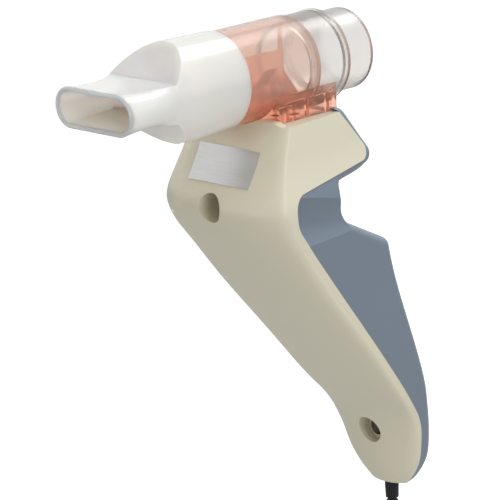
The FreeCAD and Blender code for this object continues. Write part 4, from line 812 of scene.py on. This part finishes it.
@dataclass
class CableLead:
    """The cable from the strain relief through its tied hank to the plug.

    Apart from the radius, its sizes and places are in millimetres in the tube's frame.
    """

    radius: float = 1.25 * MM
    exit_reach: float = 77.7
    relief_end: float = -180.7
    hank_top: float = -189.3
    bend: float = 7.62
    run: float = 38.0
    layers: int = 4
    rows: int = 3
    bend_points: int = 8
    drift_points: int = 7
    straight_share: float = 0.33
    first_station: int = 5
    front_gap: float = 0.4
    plug_drop: float = 9.0
    boot: float = 7.0

    @property
    def diameter(self) -> float:
        """The cable's diameter in millimetres."""
        return 2 * self.radius / MM

    @property
    def outer(self) -> float:
        """The outer radius of the hank's bends in millimetres."""
        return self.bend - self.radius / MM + self.diameter * self.layers

    @property
    def middle(self) -> float:
        """The level of the hank's middle."""
        return self.hank_top - self.outer - self.run / 2

    @staticmethod
    def round_bend(angles: list[float], stretch: float, level: float) -> list[tuple[float, float, float]]:
        """Places stations round a bend.

        Args:
            angles: the bend's angles, from the right.
            stretch: how far the control points lie outside the curve, as a factor.
            level: the bend's level.

        Returns:
            Each station's shares of the reach sideways and upwards, and its level.
        """
        return [(stretch * math.cos(angle), stretch * math.sin(angle), level) for angle in angles]

    def stations(self) -> list[tuple[float, float, float]]:
        """Places the control points of one turn, from the top bend's middle round to just before it.

        Returns:
            For each point its shares of the bend's reach sideways and upwards, and its level.
        """
        pitch = math.pi / self.bend_points
        stretch = 1 / math.cos(pitch / 2)
        half_bend = self.bend_points // 2
        top_right = [pitch * (half_bend - index - 0.5) for index in range(half_bend)]
        bottom = [-pitch * (index + 0.5) for index in range(self.bend_points)]
        top_left = [math.pi - pitch * (index + 0.5) for index in range(half_bend)]
        straight = self.straight_share * self.run
        stations = self.round_bend(top_right, stretch, self.run / 2)
        stations += [(1.0, 0.0, straight), (1.0, 0.0, -straight)]
        stations += self.round_bend(bottom, stretch, -self.run / 2)
        stations += [(-1.0, 0.0, -straight), (-1.0, 0.0, straight)]
        stations += self.round_bend(top_left, stretch, self.run / 2)
        return stations

    def turn(self, layer: float, row: float, next_layer: float, next_row: float) -> list[Vector]:
        """One turn of the hank, which drifts to the next one's place on its way up.

        Args:
            layer: how many diameters this turn lies outside the innermost one.
            row: how many diameters it lies beside the first row.
            next_layer: the next turn's layer.
            next_row: the next turn's row.

        Returns:
            The turn's control points, in the order of the stations.
        """
        points = []
        stations = self.stations()
        for index, (across, rise, level) in enumerate(stations):
            drift = max(0.0, (index - len(stations) + self.drift_points) / self.drift_points)
            reach = self.bend + self.diameter * (layer + (next_layer - layer) * drift)
            depth = self.diameter * (row + (next_row - row) * drift - (self.rows - 1) / 2)
            height = self.middle + level + reach * rise
            points.append(TUBE.at(reach * across, self.exit_reach + depth, height))
        return points

    def route(self) -> list[Vector]:
        """Plans the whole cable, from inside the strain relief to inside the plug's boot.

        The points before and after the hank are given one by one.

        Returns:
            Its control points, in the shared frame.
        """
        front = -self.diameter * (self.rows + 1) / 2 - self.front_gap
        top = self.hank_top
        points = [
            TUBE.at(0, self.exit_reach, self.relief_end + 12.0),
            TUBE.at(0, self.exit_reach, self.relief_end + 5.0),
            TUBE.at(0, self.exit_reach, self.relief_end - 1.0),
            TUBE.at(0, self.exit_reach + front * 0.55, top + 4.5),
            TUBE.at(0, self.exit_reach + front, top - 1.5),
            TUBE.at(0, self.exit_reach + front, top - self.outer + self.bend * 0.4),
            TUBE.at(2.0, self.exit_reach + front * 0.8, top - self.outer - 2.0),
            TUBE.at(self.bend - 0.6, self.exit_reach - self.diameter, self.middle + 8.0),
            TUBE.at(self.bend, self.exit_reach - self.diameter, self.middle - 6.0),
        ]
        places = []
        for layer in range(self.layers):
            order = range(self.rows) if layer % 2 == 0 else range(self.rows - 1, -1, -1)
            places += [(layer, row) for row in order]
        for index, (layer, row) in enumerate(places):
            following = places[index + 1] if index + 1 < len(places) else (layer, (self.rows - 1) / 2)
            turn = self.turn(layer, row, *following)
            points += turn[self.first_station:] if index == 0 else turn
        last = self.outer - self.radius / MM
        low = self.hank_top - 2 * self.outer - self.run
        points += [
            TUBE.at(last * 0.72, self.exit_reach, self.middle + self.run / 2 + last * 0.8),
            TUBE.at(last, self.exit_reach, self.middle + self.run * 0.4),
            TUBE.at(last, self.exit_reach, self.middle - self.run * 0.1),
            TUBE.at(last, self.exit_reach, self.middle - self.run * 0.48),
            TUBE.at(last * 0.86, self.exit_reach, self.middle - self.run / 2 - last * 0.55),
            TUBE.at(last * 0.3, self.exit_reach, self.middle - self.run / 2 - last * 0.92),
            TUBE.at(0, self.exit_reach, low - 2.0),
            TUBE.at(0, self.exit_reach, low - self.plug_drop * 0.6),
            TUBE.at(0, self.exit_reach, low - self.plug_drop - self.boot * 0.45),
        ]
        return points

    def build(self) -> bpy.types.Object:
        """Makes the cable's curve and hides the solids that it stands for.

        Returns:
            The cable.
        """
        curve = bpy.data.curves.new("cable_lead", "CURVE")
        curve.dimensions = "3D"
        curve.bevel_depth = self.radius
        curve.bevel_resolution = 5
        curve.resolution_u = 6
        curve.use_fill_caps = True
        points = self.route()
        spline = curve.splines.new("NURBS")
        spline.points.add(len(points) - 1)
        for point, place in zip(spline.points, points):
            point.co = (*place, 1.0)
        spline.order_u = 3
        spline.use_endpoint_u = True
        spline.use_smooth = True
        lead = bpy.data.objects.new("cable_lead", curve)
        bpy.context.scene.collection.objects.link(lead)
        curve.materials.append(RUBBER.material())
        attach(lead, Body.HANDLE.value)
        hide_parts("usb_cable", "usb_cable_hank", "usb_cable_tail")
        LOG.info("cable_lead: %d control points", len(points))
        return lead


@dataclass
class HankTie:
    """The woven strap that holds the hank together, in millimetres."""

    lead: CableLead
    width: float = 8.0
    thickness: float = 0.9
    corner: float = 3.0
    gap: float = 0.1

    def build(self) -> bpy.types.Object:
        """Bends the strap round the hank.

        Returns:
            The new piece.
        """
        half_width = self.lead.outer + self.gap
        half_depth = self.lead.diameter * self.lead.rows / 2 + self.gap
        mesh = bmesh.new()
        bmesh.ops.create_grid(mesh, x_segments=1, y_segments=1, size=1.0)
        bmesh.ops.scale(mesh, verts=mesh.verts, vec=(half_width, half_depth, 1.0))
        bmesh.ops.bevel(mesh, geom=mesh.verts[:], offset=self.corner, segments=6, profile=0.5,
                        affect="VERTICES", material=-1)
        edge = mesh.edges[:]
        bmesh.ops.delete(mesh, geom=mesh.faces[:], context="FACES_ONLY")
        raised = bmesh.ops.extrude_edge_only(mesh, edges=edge)
        moved = [item for item in raised["geom"] if isinstance(item, bmesh.types.BMVert)]
        bmesh.ops.translate(mesh, verts=moved, vec=(0.0, 0.0, self.width))
        bmesh.ops.recalc_face_normals(mesh, faces=mesh.faces[:])
        bmesh.ops.translate(mesh, verts=mesh.verts, vec=(0.0, 0.0, -self.width / 2))
        bmesh.ops.solidify(mesh, geom=mesh.faces[:], thickness=-self.thickness)
        bmesh.ops.scale(mesh, verts=mesh.verts, vec=(MM, MM, MM))
        bmesh.ops.translate(mesh, verts=mesh.verts, vec=TUBE.at(0, self.lead.exit_reach, self.lead.middle))
        strap = link_piece("hank_strap", mesh, BLACK, Body.HANDLE)
        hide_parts("cable_tie")
        return strap


@dataclass
class Dresser:
    """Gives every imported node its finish."""

    nodes: dict[str, bpy.types.Object]

    def dress(self) -> None:
        """Puts each node's material in its slots."""
        for name, finish in NODE_FINISHES.items():
            node = self.nodes[name]
            node.data.materials.clear()
            node.data.materials.append(finish.material())
            LOG.info("%s: finish %s", name, finish.name)


def main() -> None:
    """Builds the scene in order: camera, cable, studio, finishes and added pieces."""
    logging.basicConfig(level=logging.INFO, format="%(message)s")
    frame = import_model()
    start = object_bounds()
    Viewpoint().place()
    lead = CableLead()
    cord = lead.build()
    strap = HankTie(lead).build()
    LipBead().build()
    ScoopWeb(Side.RIGHT).build()
    ScoopWeb(Side.LEFT).build()
    Studio(floor_level=start[0].z - FLOOR_GAP).build()
    Dresser(frame["nodes"]).dress()


if __name__ == "__main__":
    main()
